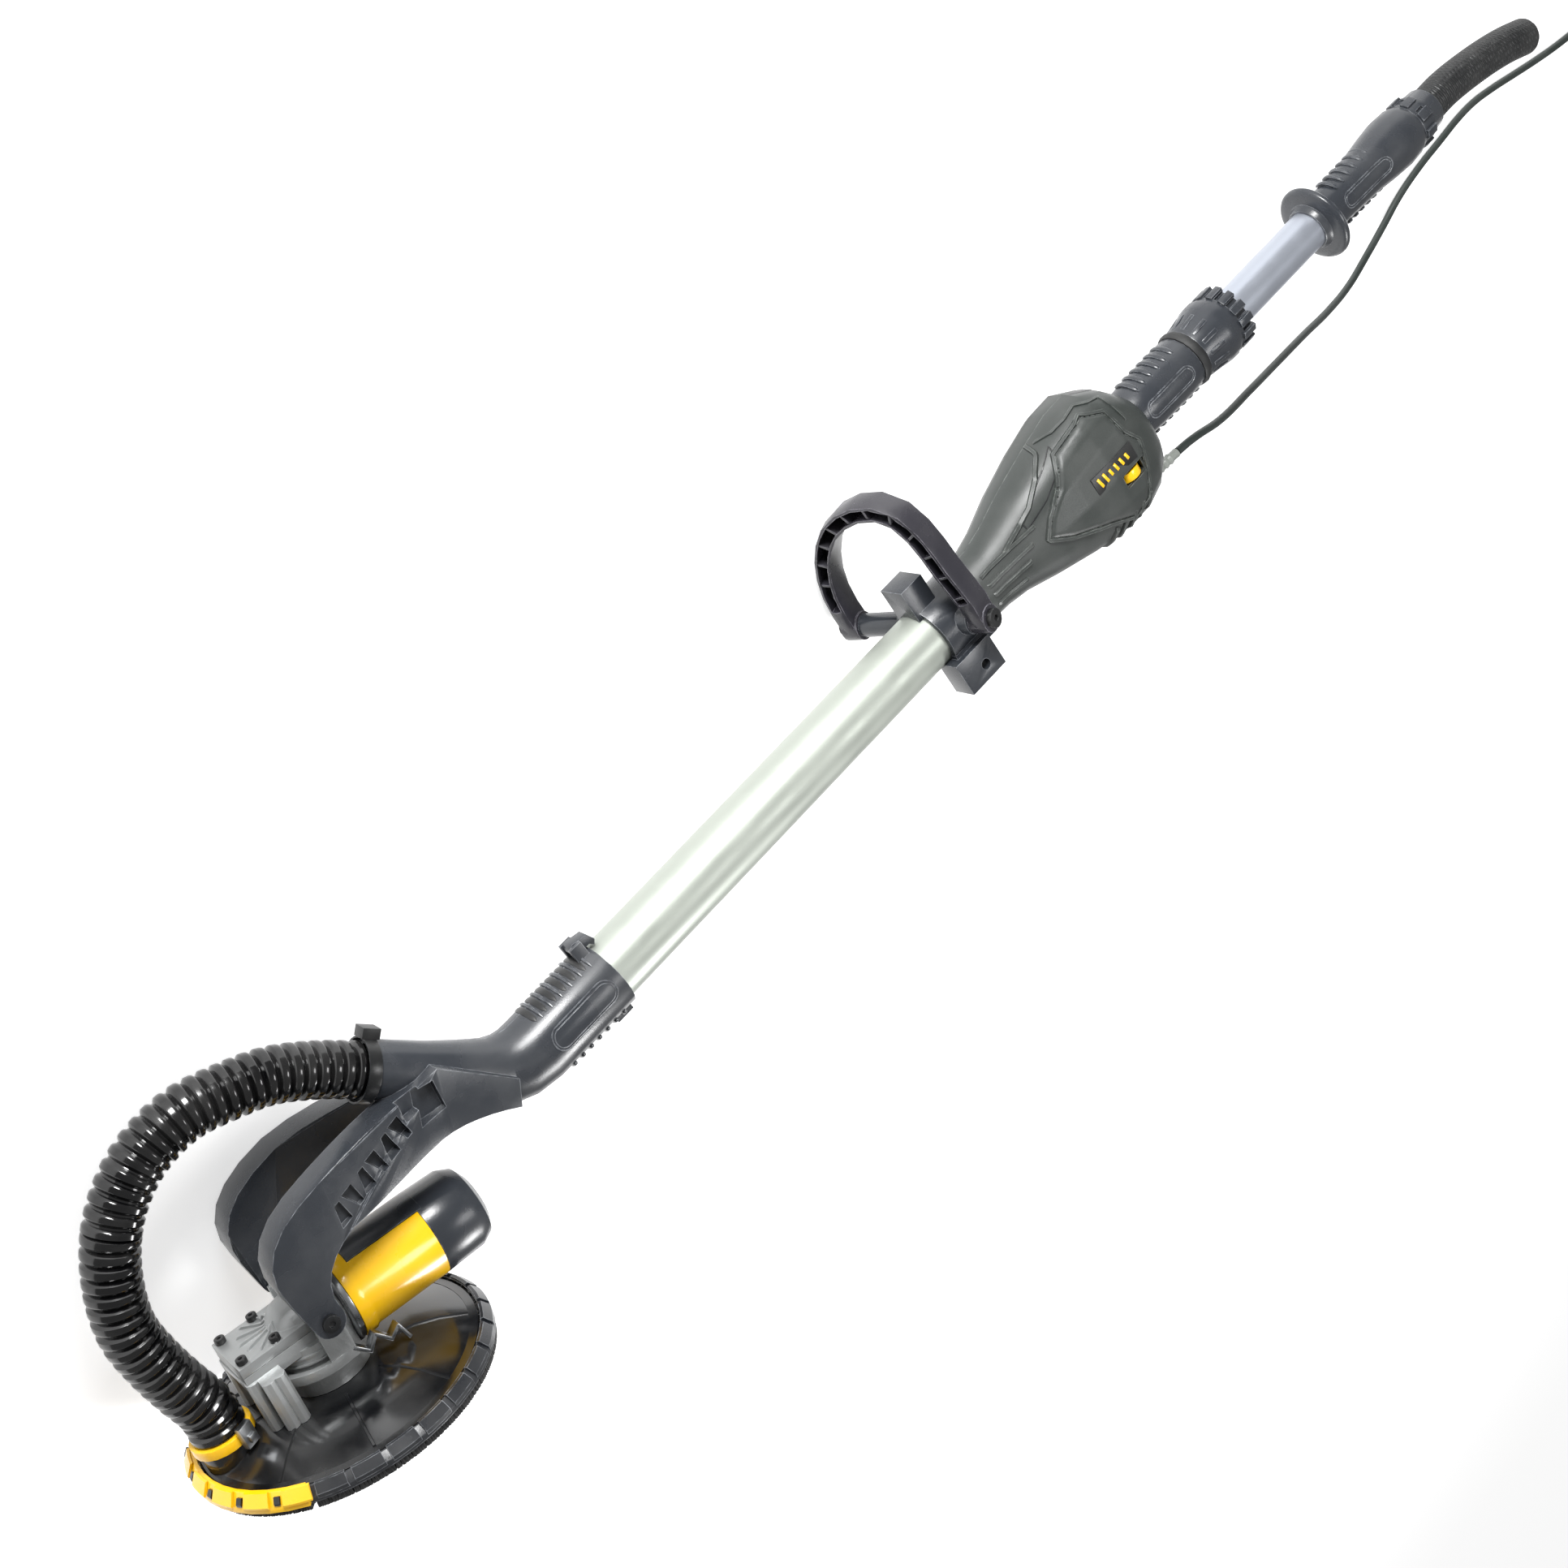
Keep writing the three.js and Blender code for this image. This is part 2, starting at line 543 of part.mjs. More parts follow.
/** The bayonet cuff that holds the dust hose, with a row of square windows round it. */
function hoseCuff() {
  const front = GRIP_REAR + GAP;
  const profile = [[front, 15.5], [front, 22.5], [1056, 22.5], [1060, 20.5], [CUFF_REAR, 19.5],
    [CUFF_REAR, 15.5], [front, 15.5]];
  const windows = [];
  for (let k = 0; k < 6; k += 1) {
    const pocket = box([1045, 1053], [-4, 4], [20, 30]).rotateX((Math.PI * k) / 3);
    windows.push(pocket.translate(0, 0, SLIDE_TUBE.rise));
  }
  return part('hose_cuff', cut(turnedX(profile, 20, SLIDE_TUBE.rise), ...windows), GREY_PLASTIC);
}

const SLEEVE_ROUTE = [[CUFF_REAR + 1, 0, 6], [1100, 0.4, 5.8], [1150, 6, -3], [1195, 13, -15],
  [1233, 21, -29]];

function sleeveHose() {
  const route = new THREE.CatmullRomCurve3(SLEEVE_ROUTE.map((p) => vec(...p)));
  return part('sleeve_hose', hose(route, 8, SLEEVE_RADIUS, 0, 12), RUBBER);
}

// ---------------------------------------------------------------- gimbal
/** The cast frame between fork and gearbox: ears on the fork's pins, a ring round the gearbox. */
function gimbalRing() {
  const { inner, outer, low, high } = GIMBAL;
  const ring = turnedZ([[low, inner], [low, outer], [high, outer], [high, inner], [low, inner]], 28);
  const rearCut = box([PIVOT.e + 9, 60], [-60, 60], [low - 5, high + 5]);
  const ears = [-1, 1].map((s) => join(
    box([PIVOT.e - 10, PIVOT.e + 10], [s * PIVOT.ear - 1.8, s * PIVOT.ear + 1.8], [low, PIVOT.n]),
    rodY(8.5, s * PIVOT.ear - 1.8, s * PIVOT.ear + 1.8, PIVOT.e, PIVOT.n),
  ));
  const pinHoles = rodY(PIVOT.pin + GAP, -60, 60, PIVOT.e, PIVOT.n);
  const rollHole = rodX(3, -60, -20, 0, ROLL_AXIS_N, 12);
  return part('gimbal_ring', cut(join(cut(ring, rearCut), ...ears), pinHoles, rollHole), CAST);
}

function pivotPin(name, s) {
  const shank = rodY(PIVOT.pin, 38.8, 55, 0, 0, 14);
  const head = cut(rodY(6.5, FORK.tipY + GAP, FORK.tipY + 4, 0, 0, 16), rodY(2.6, 58, 70, 0, 0, 6));
  const neck = rodY(PIVOT.pin, 54, FORK.tipY + 1, 0, 0, 14);
  return part(name, join(shank, neck, head).scale(1, s, 1), STEEL);
}

/** The pin at the front of the ring, on the line the head rolls about. */
function rollPin() {
  const shank = rodX(2.8, -GIMBAL.outer - 1, -26, 0, ROLL_AXIS_N, 12);
  const head = rodX(4.5, -GIMBAL.outer - 3.5, -GIMBAL.outer - 0.3, 0, ROLL_AXIS_N, 12);
  return part('roll_pin', join(shank, head), STEEL);
}

// ---------------------------------------------------------------- gearbox and motor
const POSTS = [[-56, 25], [-48, 37], [-40, 37]];
const COVER_SCREWS = [[-54, -21], [-54, 21], [-27, -22], [-27, 22]];
const GEARBOX = { foot: 22.3, split: 70, neck: 32.5, shelf: 58 };

function gearboxBody() {
  const { foot, neck, shelf } = GEARBOX;
  const column = rodZ(neck, foot, shelf + 4, 0, 0, 24);
  const block = box([-60, 14], [-27, 27], [shelf, 78]);
  const dome = new THREE.SphereGeometry(27, 16, 10).translate(-4, 0, 64);
  const nose = rodX(27, -4, 23.7, 0, MOTOR.n, 20);
  const bite = rodX(MOTOR.radius + 2.5, 23.7, 60, 0, MOTOR.n, 28);
  const posts = POSTS.flatMap(([e, y]) => [-1, 1].map((s) => join(
    rodZ(5.5, foot, shelf + 6, e, s * y, 10),
    box([e - 5, e + 5], [Math.min(0, s * y), Math.max(0, s * y)], [shelf, shelf + 6]),
  )));
  const well = rodZ(22.4, 43, GEARBOX.split + 2, 0, 0, 20);
  const seat = rodZ(20.6, foot + 8, 44, 0, 0, 20);
  const mouth = rodZ(7.4, foot - 2, foot + 10, 0, 0, 16);
  const armatureWay = rodX(12, 4, 30, 0, MOTOR.n, 24);
  const pinHole = rodX(3.2, -60, -10, 0, ROLL_AXIS_N, 12);
  const screwHoles = COVER_SCREWS.map(([e, y]) => rodZ(2.4, 62, 90, e, y, 10));
  const whole = join(column, block, dome, nose, ...posts);
  return cut(whole, bite, well, seat, mouth, armatureWay, pinHole, ...screwHoles);
}

function gearboxParts() {
  const body = gearboxBody();
  const { split } = GEARBOX;
  const low = common(body, box([-90, 60], [-60, 60], [0, split]));
  const high = common(body, box([-90, 60], [-60, 60], [split + GAP, 120]));
  const screws = COVER_SCREWS.map(([e, y], k) => {
    const screw = join(rodZ(4.2, 78.3, 82.5, e, y, 12), rodZ(2, 63, 79, e, y, 8));
    return part(`cover_screw_${k + 1}`, cut(screw, rodZ(1.8, 80, 84, e, y, 6)), STEEL);
  });
  return [part('gearbox_housing', low, CAST), part('gearbox_cover', high, CAST), ...screws];
}

/** The motor's can: a yellow lower shell and a dark saddle that runs on into the rear cap. */
function motorParts() {
  const { n, radius, wall, front, coverEnd, rear } = MOTOR;
  const inner = radius - wall;
  const can = turnedX([[front + 6, inner], [front, inner], [front, radius + 2], [front + 9, radius + 2],
    [front + 12, radius], [coverEnd, radius], [coverEnd, inner], [front + 6, inner]], 28);
  const wedgeOutline = polygon([[0, 0], [40, 59], [-40, 59]]);
  const wedge = (lift) => {
    const g = new THREE.ExtrudeGeometry(wedgeOutline, { depth: 200, bevelEnabled: false });
    return g.rotateX(Math.PI / 2).rotateZ(Math.PI / 2).translate(-20, 0, lift);
  };
  const saddleBlock = wedge(1);
  const saddle = common(turnedX([[front + 13, inner], [front + 13, radius], [coverEnd + 4, radius],
    [coverEnd + 4, inner], [front + 13, inner]], 28), saddleBlock);
  const shell = cut(can, common(wedge(0), box([front + 12.6, 400], [-60, 60], [-60, 60])));
  const back = turnedX([[coverEnd + GAP, inner], [coverEnd + GAP, radius], [rear - 14, radius - 1],
    [rear - 4, radius - 6], [rear, radius - 14], [rear, 0], [rear - 4, 0], [rear - 4, radius - 14],
    [rear - 12, inner - 3], [coverEnd + GAP, inner]], 28);
  const ring = turnedX([[24, 20], [24, 33], [25.5, 35.5], [29.7, 35.5], [29.7, 20], [24, 20]], 24);
  const stator = turnedX([[44, 18], [44, inner - 0.6], [94, inner - 0.6], [94, 18], [44, 18]], 20);
  const place = (g) => g.translate(0, 0, n);
  return [
    part('motor_cover', place(shell), YELLOW),
    part('motor_cap', place(join(saddle, back)), GREY_PLASTIC),
    part('motor_flange', place(ring), STEEL),
    part('stator', place(stator), COPPER),
  ];
}

const GEARS = { crownTeeth: 30, pinionTeeth: 5, crownRadius: 21, face: 54, pinionRadius: 7.4 };

/** Shaft, windings and the small pinion that drives the crown gear. */
function armature() {
  const shaft = rodX(4, 6, 128, 0, 0, 14);
  const core = rodX(16, 46, 92, 0, 0, 24);
  const commutator = rodX(11, 98, 112, 0, 0, 20);
  const teeth = [];
  for (let k = 0; k < GEARS.pinionTeeth; k += 1) {
    const tooth = box([10, 21], [-1.3, 1.3], [3, GEARS.pinionRadius]);
    teeth.push(tooth.rotateX((2 * Math.PI * k) / GEARS.pinionTeeth));
  }
  return part('armature', join(shaft, core, commutator, ...teeth).translate(0, 0, MOTOR.n), STEEL);
}

function crownGear() {
  const { crownTeeth, crownRadius, face } = GEARS;
  const blank = turnedZ([[46, 6.9], [46, crownRadius], [face, crownRadius], [face, 6.9], [46, 6.9]], 30);
  const teeth = [];
  for (let k = 0; k < crownTeeth; k += 1) {
    const tooth = box([12, crownRadius - 0.5], [-0.6, 0.6], [face - 1, face + 4]);
    teeth.push(tooth.rotateZ((2 * Math.PI * k) / crownTeeth));
  }
  return part('crown_gear', join(blank, ...teeth), STEEL);
}

// ---------------------------------------------------------------- pad, shroud and skirt
function padParts() {
  const spindle = join(rodZ(6.5, 0, 55, 0, 0, 20), rodZ(14, 2.3, 6, 0, 0, 24));
  const pad = turnedZ([[-7, 0], [-7, DISC.pad - 1], [-4, DISC.pad], [-1, DISC.pad - 2], [1, 60],
    [2, 30], [2, 7], [-3, 7], [-3, 0]], 40);
  const disc = rodZ(DISC.pad, -9.3, -7.3, 0, 0, 40);
  const bearing = turnedZ([[31, 6.8], [31, 20], [42, 20], [42, 6.8], [31, 6.8]], 20);
  return {
    pad: [
      part('spindle', spindle, STEEL),
      part('backing_pad', pad, RUBBER),
      part('sanding_disc', disc, ABRASIVE),
      crownGear(),
    ],
    bearing: part('spindle_bearing', bearing, STEEL),
  };
}

/** The dust shroud: a shallow dish over the pad, with the outlet for the front hose. */
function shroud() {
  const dish = turnedZ([[19, 16], [22, 16], [22, 66], [18, 84], [9.5, 106], [8, 110.5], [4.5, 110.5],
    [6.5, 104], [14, 84], [19, 60], [19, 16]], 36);
  const outlet = rodZ(20.5, 8, 26, OUTLET.e, 0, 20);
  const way = rodZ(17.5, 0, 40, OUTLET.e, 0, 20);
  return part('shroud', cut(join(dish, outlet), way), BLACK_PLASTIC);
}

function outletParts() {
  const place = (g) => g.translate(OUTLET.e, 0, 0);
  const ring = place(turnedZ([[26.3, 17.5], [26.3, 24], [34, 24], [34, 17.5], [26.3, 17.5]], 20));
  const clip = join(
    box([-6, 6], [-30, -24.4], [20.5, 38]),
    box([-3, 3], [-33, -29], [24, 30]),
  );
  return [
    part('dust_connector', ring, YELLOW),
    part('hose_clip', clip.rotateZ(deg(25)).translate(OUTLET.e, 0, 3), STEEL),
  ];
}

/** Everything within an angle of the segment's middle direction, seen from above. */
function sector(half, middle) {
  const reach = 170;
  const wedge = new THREE.Shape();
  const start = deg(middle - half);
  wedge.moveTo(0, 0);
  wedge.lineTo(reach * Math.cos(start), reach * Math.sin(start));
  wedge.absarc(0, 0, reach, start, deg(middle + half), false);
  wedge.closePath();
  const options = { depth: 80, bevelEnabled: false, curveSegments: 12 };
  return new THREE.ExtrudeGeometry(wedge, options).translate(0, 0, -40);
}

function skirtParts() {
  const { top, bristle, inner } = SKIRT;
  const low = DISC.ring;
  const ring = turnedZ([[0, inner], [0, low], [4, low - 0.5], [top, low - 6.5], [top, inner], [0, inner]], 48);
  const edge = turnedZ([[0, inner], [0, low + 2], [4, low + 1.5], [top + 3, low - 5], [top + 3, inner],
    [0, inner]], 48);
  const brush = turnedZ([[-bristle, 110], [-bristle, 118], [-GAP, 117], [-GAP, 111], [-bristle, 110]], 40);
  const inside = sector(SEGMENT.half - 0.2, SEGMENT.middle);
  const outside = sector(SEGMENT.half, SEGMENT.middle);
  return {
    skirt: [
      part('skirt_ring', cut(ring, outside), GREY_PLASTIC),
      part('bristle_skirt', cut(brush, outside), BRISTLE),
    ],
    segment: [
      part('edge_segment', common(edge, inside), YELLOW),
      part('segment_bristles', common(brush, inside), BRISTLE),
    ],
  };
}

// ---------------------------------------------------------------- assembly
/** Everything that is drawn in the head's own frame: e along the motor, n away from the wall. */
function headGroup() {
  const head = new THREE.Group();
  head.position.set(DISC.x, 0, DISC.z);
  head.rotation.y = deg(DISC.lean);
  const pads = padParts();
  const skirt = skirtParts();
  head.add(gimbalRing(), rollPin());
  head.add(...gearboxParts(), ...motorParts(), armature(), pads.bearing, ...pads.pad);
  head.add(shroud(), ...outletParts(), ...skirt.skirt, ...skirt.segment);
  return head;
}

function poleGroup() {
  const pole = new THREE.Group();
  const shell = neckShell();
  pole.add(mainTube(), part('neck_shell_near', shell, GREY_PLASTIC));
  pole.add(part('neck_shell_far', mirrorY(shell), GREY_PLASTIC), neckLatch(), hoseClamp());
  pole.add(frontHose('front_hose_upper', 0.002, 0.56), frontHose('front_hose_lower', 0.5607, 1));
  pole.add(...clampParts(), ...housingParts(), powerSwitch(), speedDial());
  pole.add(part('cord_gland', cordGland(), BLACK_PLASTIC), midGrip(), gripRing(), collet());
  pole.add(twistCollar(), rearTube(), handGuard(), rearGrip(), hoseCuff(), sleeveHose());
  return pole;
}

function handleGroup() {
  const group = new THREE.Group();
  group.applyMatrix4(handleMatrix());
  group.add(dHandle(), handleBolt('handle_bolt_near', HANDLE.near, -1));
  group.add(handleBolt('handle_bolt_far', HANDLE.far, 1));
  return group;
}

function pinGroup() {
  const group = new THREE.Group();
  const { x, z } = pivotPlace();
  group.position.set(x, 0, z);
  group.add(pivotPin('pivot_pin_near', -1), pivotPin('pivot_pin_far', 1));
  return group;
}

// ---------------------------------------------------------------- power cord, in the stored frame
/** The stretch of the cord that isn't coiled: out of the gland, down to the floor and along it. */
function powerCord() {
  const route = new THREE.CatmullRomCurve3(CORD_ROUTE.map((p) => vec(...p)), false, 'centripetal');
  return part('power_cord', hose(route, 62, CORD.radius, 0, 8), RUBBER);
}

/** The outer shape of the coil that holds the rest of the cord. */
function cordCoil() {
  const inner = COIL.middle - CORD.radius * COIL.rings;
  const outer = COIL.middle + CORD.radius * COIL.rings;
  const top = FLOOR_GAP + 2 * CORD.radius * COIL.layers;
  const section = [[FLOOR_GAP, inner], [FLOOR_GAP, outer], [top, outer], [top, inner], [FLOOR_GAP, inner]];
  const coil = part('cord_coil', turnedZ(section, 32), RUBBER);
  coil.position.set(COIL.x, COIL.y, 0);
  return coil;
}

/** A moulded two-pin plug that leans with its sleeve on the top turn of the coil. */
function powerPlug() {
  const { sleeve, length, width, thick, pin, spacing } = PLUG;
  const body = skinned(7, 16, (ring, a, b) => {
    const u = ring / 6;
    const swell = 0.42 + 0.58 * Math.sin((Math.PI / 2) * Math.min(1, u * 1.6));
    const [y, z] = [squared(a, 3) * (width / 2) * swell, squared(b, 4) * (thick / 2)];
    return vec(sleeve + u * length, y, z);
  });
  const relief = turnedX([[0, 0], [0, CORD.radius + 0.6], [sleeve + 1, CORD.radius + 2.4], [sleeve + 1, 0]], 12);
  const end = sleeve + length;
  const pins = [-1, 1].map((side) => rodX(pin.radius, end - 1, end + pin.length, side * spacing / 2, 0, 10));
  const plug = part('power_plug', join(relief, body, ...pins), RUBBER);
  plug.rotation.set(0, deg(PLUG.slope), deg(-90), 'ZYX');
  plug.position.set(...PLUG.at);
  return plug;
}

const tool = new THREE.Group();
tool.add(poleGroup(), handleGroup(), pinGroup(), headGroup());
tool.rotation.set(deg(REST.roll), deg(REST.pitch), 0, 'YXZ');
const lying = new THREE.Box3().setFromObject(tool, true);
const middle = lying.getCenter(new THREE.Vector3());
tool.position.set(-middle.x, -middle.y, -lying.min.z);

const group = new THREE.Group();
group.add(tool, powerCord(), cordCoil(), powerPlug());
export default group;
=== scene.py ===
"""Looks for a long-reach pole sander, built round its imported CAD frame.

Lengths in the classes below are millimetres in the tool's own frame: x runs along the pole towards
the tail, +z is the side of the front hose and the D-handle, and y crosses the pole. ToolSpace turns
them into the stored frame in metres.
"""

from __future__ import annotations

import json
import logging
import math
import random
from dataclasses import dataclass, field
from enum import Enum
from typing import Callable, Iterable, Sequence

import bmesh
import bpy
from mathutils import Matrix, Vector
from mathutils.bvhtree import BVHTree

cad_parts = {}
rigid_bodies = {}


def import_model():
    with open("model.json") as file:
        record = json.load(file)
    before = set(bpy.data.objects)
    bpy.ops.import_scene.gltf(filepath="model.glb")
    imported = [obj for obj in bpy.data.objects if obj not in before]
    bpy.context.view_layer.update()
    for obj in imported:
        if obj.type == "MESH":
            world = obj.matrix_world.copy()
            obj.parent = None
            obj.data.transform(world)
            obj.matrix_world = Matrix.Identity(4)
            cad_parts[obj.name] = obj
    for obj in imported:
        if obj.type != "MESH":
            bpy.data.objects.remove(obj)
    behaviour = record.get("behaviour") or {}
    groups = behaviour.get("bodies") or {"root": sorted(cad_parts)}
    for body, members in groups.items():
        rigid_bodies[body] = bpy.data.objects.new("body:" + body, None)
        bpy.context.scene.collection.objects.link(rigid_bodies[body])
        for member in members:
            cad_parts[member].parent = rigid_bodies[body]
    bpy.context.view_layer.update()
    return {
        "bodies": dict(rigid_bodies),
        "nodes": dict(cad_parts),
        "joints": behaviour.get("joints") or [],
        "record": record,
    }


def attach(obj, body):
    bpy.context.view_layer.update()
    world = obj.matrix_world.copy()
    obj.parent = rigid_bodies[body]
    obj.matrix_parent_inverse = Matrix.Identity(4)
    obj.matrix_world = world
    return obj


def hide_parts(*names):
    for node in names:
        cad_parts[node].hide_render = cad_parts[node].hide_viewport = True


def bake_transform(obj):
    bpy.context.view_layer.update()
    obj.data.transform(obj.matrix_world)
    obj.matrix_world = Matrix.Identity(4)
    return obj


LOG = logging.getLogger("pole_sander")
MM = 0.001

SMOOTH_UP_TO = math.radians(34)
ROUND_FROM = math.radians(36)
USUAL_EDGE = 0.45
BESIDE = -90.0
ACROSS = (0, 1, 0)

Point = Sequence[float]
Outline = Sequence[tuple[float, float]]


# ------------------------------------------------------------------ finishes
class Pattern(Enum):
    """How the surface of a finish is broken up."""

    MOULDED = "moulded"
    DRAWN = "drawn"
    CAST = "cast"
    WOVEN = "woven"
    GRIT = "grit"


@dataclass(frozen=True)
class Finish:
    """One finish: its colour, gloss, surface pattern, and the colour and amount that lighten its sharp edges,
    for rubbed edges and painted highlights.
    """

    name: str
    color: tuple[float, float, float]
    roughness: float
    metallic: float = 0.0
    pattern: Pattern = Pattern.MOULDED
    depth: float = 0.12
    scale: float = 900.0
    edge: tuple[float, float, float] = (0.5, 0.5, 0.5)
    wear_and_highlight: float = 0.12
    coat: float = 0.0


def srgb(code: str) -> tuple[float, float, float]:
    """Turns a hex colour into linear values.

    Args:
        code: six hex digits.

    Returns:
        Red, green and blue from 0 to 1.
    """
    parts = [int(code[i : i + 2], 16) / 255 for i in (0, 2, 4)]
    return tuple(v / 12.92 if v < 0.04045 else ((v + 0.055) / 1.055) ** 2.4 for v in parts)


# On the grey, housing, handle and ring plastics, the pale edge colours with edge amounts of 0.6 to 0.7 paint
# highlights along the edges on top of rubbing. On the other finishes the lighter edges stand for rubbed
# edges.
GREY = Finish("grey_plastic", srgb("2c2f34"), 0.28, edge=srgb("b4b8be"), wear_and_highlight=0.6, depth=0.2)
HOUSING = Finish("green_plastic", srgb("303432"), 0.4, edge=srgb("a0a5a1"), wear_and_highlight=0.6, depth=0.25)
HANDLE = Finish("handle_plastic", srgb("2b2a30"), 0.26, edge=srgb("b6b3be"), wear_and_highlight=0.6, depth=0.2)
BLACK = Finish("black_plastic", srgb("101112"), 0.34, edge=srgb("505358"), wear_and_highlight=0.25)
SHROUD = Finish("shroud_plastic", srgb("0d0e10"), 0.2, edge=srgb("3a3c40"), wear_and_highlight=0.15, coat=0.35, depth=0.05)
RING = Finish("ring_plastic", srgb("1c1e22"), 0.28, edge=srgb("b0b4ba"), wear_and_highlight=0.7)
YELLOW = Finish("yellow", srgb("f6bf0c"), 0.24, edge=srgb("ffd060"), wear_and_highlight=0.12, coat=0.3, depth=0.06)
HOSE = Finish("hose", srgb("050506"), 0.16, edge=srgb("4a4c4e"), wear_and_highlight=0.1, coat=0.25, depth=0.05)
RUBBER = Finish("rubber", srgb("161718"), 0.6, edge=srgb("3c3e40"), wear_and_highlight=0.1, depth=0.2)
CORD = Finish("rubber", srgb("232b28"), 0.48, edge=srgb("4a534f"), wear_and_highlight=0.1, depth=0.1)
GLAND = Finish("rubber", srgb("80847f"), 0.45, edge=srgb("b0b4b0"), wear_and_highlight=0.2, depth=0.1)
TUBE = Finish("anodised", srgb("a4a9a1"), 0.44, 0.55, Pattern.DRAWN, 0.04, 520.0, srgb("d4d8d2"), 0.1)
SLIM = Finish("bright_tube", srgb("abb0ba"), 0.36, 0.75, Pattern.DRAWN, 0.04, 520.0, srgb("e2e5ea"), 0.1)
CAST = Finish("cast", srgb("a3a5a5"), 0.36, 0.55, Pattern.CAST, 0.5, 420.0, srgb("d8dbdb"), 0.6)
STEEL = Finish("steel", srgb("9b9d9f"), 0.3, 1.0, Pattern.DRAWN, 0.05, 700.0, srgb("d5d6d8"), 0.3)
BRISTLE = Finish("bristle", srgb("101112"), 0.55, depth=0.1)
GRIT = Finish("abrasive", srgb("8b7a66"), 0.85, pattern=Pattern.GRIT, depth=0.8, scale=1500.0)
BOARD = Finish("black_plastic", srgb("1d4a33"), 0.45, depth=0.1)
SLEEVE = Finish("rubber", srgb("191a1b"), 0.5, pattern=Pattern.WOVEN, depth=0.6, scale=420.0)


def node_group(name: str, inputs: dict[str, tuple[str, object]], outputs: dict[str, str]):
    """Makes an empty shader node group with named sockets.

    Args:
        name: the group's name.
        inputs: socket name to its type and first value.
        outputs: socket name to its type.

    Returns:
        The tree, its input node and its output node.
    """
    tree = bpy.data.node_groups.new(name, "ShaderNodeTree")
    for label, (kind, value) in inputs.items():
        socket = tree.interface.new_socket(label, in_out="INPUT", socket_type=kind)
        if value is not None:
            socket.default_value = value
    for label, kind in outputs.items():
        tree.interface.new_socket(label, in_out="OUTPUT", socket_type=kind)
    return tree, tree.nodes.new("NodeGroupInput"), tree.nodes.new("NodeGroupOutput")


def multiply(tree: bpy.types.NodeTree, one: bpy.types.NodeSocket, two: bpy.types.NodeSocket | float):
    """Adds a node that multiplies a socket by another socket or by a number.

    Args:
        tree: the node tree.
        one: the first socket.
        two: the second socket, or a number.

    Returns:
        The product's socket.
    """
    node = tree.nodes.new("ShaderNodeMath")
    node.operation = "MULTIPLY"
    tree.links.new(one, node.inputs[0])
    if isinstance(two, (int, float)):
        node.inputs[1].default_value = two
    else:
        tree.links.new(two, node.inputs[1])
    return node.outputs[0]


def ramp(nodes, low: float, high: float):
    """Adds a map range node from low..high to 0..1.

    Args:
        nodes: the tree's nodes.
        low: the value that becomes 0.
        high: the value that becomes 1.

    Returns:
        The node.
    """
    node = nodes.new("ShaderNodeMapRange")
    node.inputs["From Min"].default_value = low
    node.inputs["From Max"].default_value = high
    return node


def edge_wear_and_highlight_group() -> bpy.types.NodeTree:
    """Makes the shared edge effect: a mask that is 1 on sharp edges, broken up by noise, which lightens
    rubbed edges and paints highlights along them.

    Returns:
        The node group.
    """
    sockets = {"Radius": ("NodeSocketFloat", 0.001), "Amount": ("NodeSocketFloat", 0.3)}
    tree, source, sink = node_group("edge_wear_and_highlight", sockets, {"Mask": "NodeSocketFloat"})
    nodes, links = tree.nodes, tree.links
    bevel = nodes.new("ShaderNodeBevel")
    bevel.samples = 4
    links.new(source.outputs["Radius"], bevel.inputs["Radius"])
    geometry = nodes.new("ShaderNodeNewGeometry")
    dot = nodes.new("ShaderNodeVectorMath")
    dot.operation = "DOT_PRODUCT"
    links.new(bevel.outputs[0], dot.inputs[0])
    links.new(geometry.outputs["Normal"], dot.inputs[1])
    rubbed_and_lit = ramp(nodes, 0.995, 0.86)
    links.new(dot.outputs["Value"], rubbed_and_lit.inputs["Value"])
    place = nodes.new("ShaderNodeTexCoord")
    noise = nodes.new("ShaderNodeTexNoise")
    noise.inputs["Scale"].default_value = 160
    links.new(place.outputs["Object"], noise.inputs["Vector"])
    broken = ramp(nodes, 0.3, 0.65)
    links.new(noise.outputs[0], broken.inputs["Value"])
    both = multiply(tree, rubbed_and_lit.outputs[0], broken.outputs[0])
    links.new(multiply(tree, both, source.outputs["Amount"]), sink.inputs["Mask"])
    return tree


def dust_group() -> bpy.types.NodeTree:
    """Makes the shared faint dust effect: a large soft cloud that dulls and lightens a colour.

    Returns:
        The node group.
    """
    sockets = {"Color": ("NodeSocketColor", (0.5, 0.5, 0.5, 1)), "Amount": ("NodeSocketFloat", 0.05)}
    outputs = {"Color": "NodeSocketColor", "Mask": "NodeSocketFloat"}
    tree, source, sink = node_group("light_dust", sockets, outputs)
    nodes, links = tree.nodes, tree.links
    place = nodes.new("ShaderNodeTexCoord")
    noise = nodes.new("ShaderNodeTexNoise")
    noise.inputs["Scale"].default_value = 22
    noise.inputs["Detail"].default_value = 7
    links.new(place.outputs["Object"], noise.inputs["Vector"])
    cloud = ramp(nodes, 0.42, 0.7)
    links.new(noise.outputs[0], cloud.inputs["Value"])
    share = multiply(tree, cloud.outputs[0], source.outputs["Amount"])
    mix = nodes.new("ShaderNodeMix")
    mix.data_type = "RGBA"
    mix.inputs["B"].default_value = (0.55, 0.54, 0.52, 1)
    links.new(share, mix.inputs["Factor"])
    links.new(source.outputs["Color"], mix.inputs["A"])
    links.new(mix.outputs["Result"], sink.inputs["Color"])
    links.new(cloud.outputs[0], sink.inputs["Mask"])
    return tree


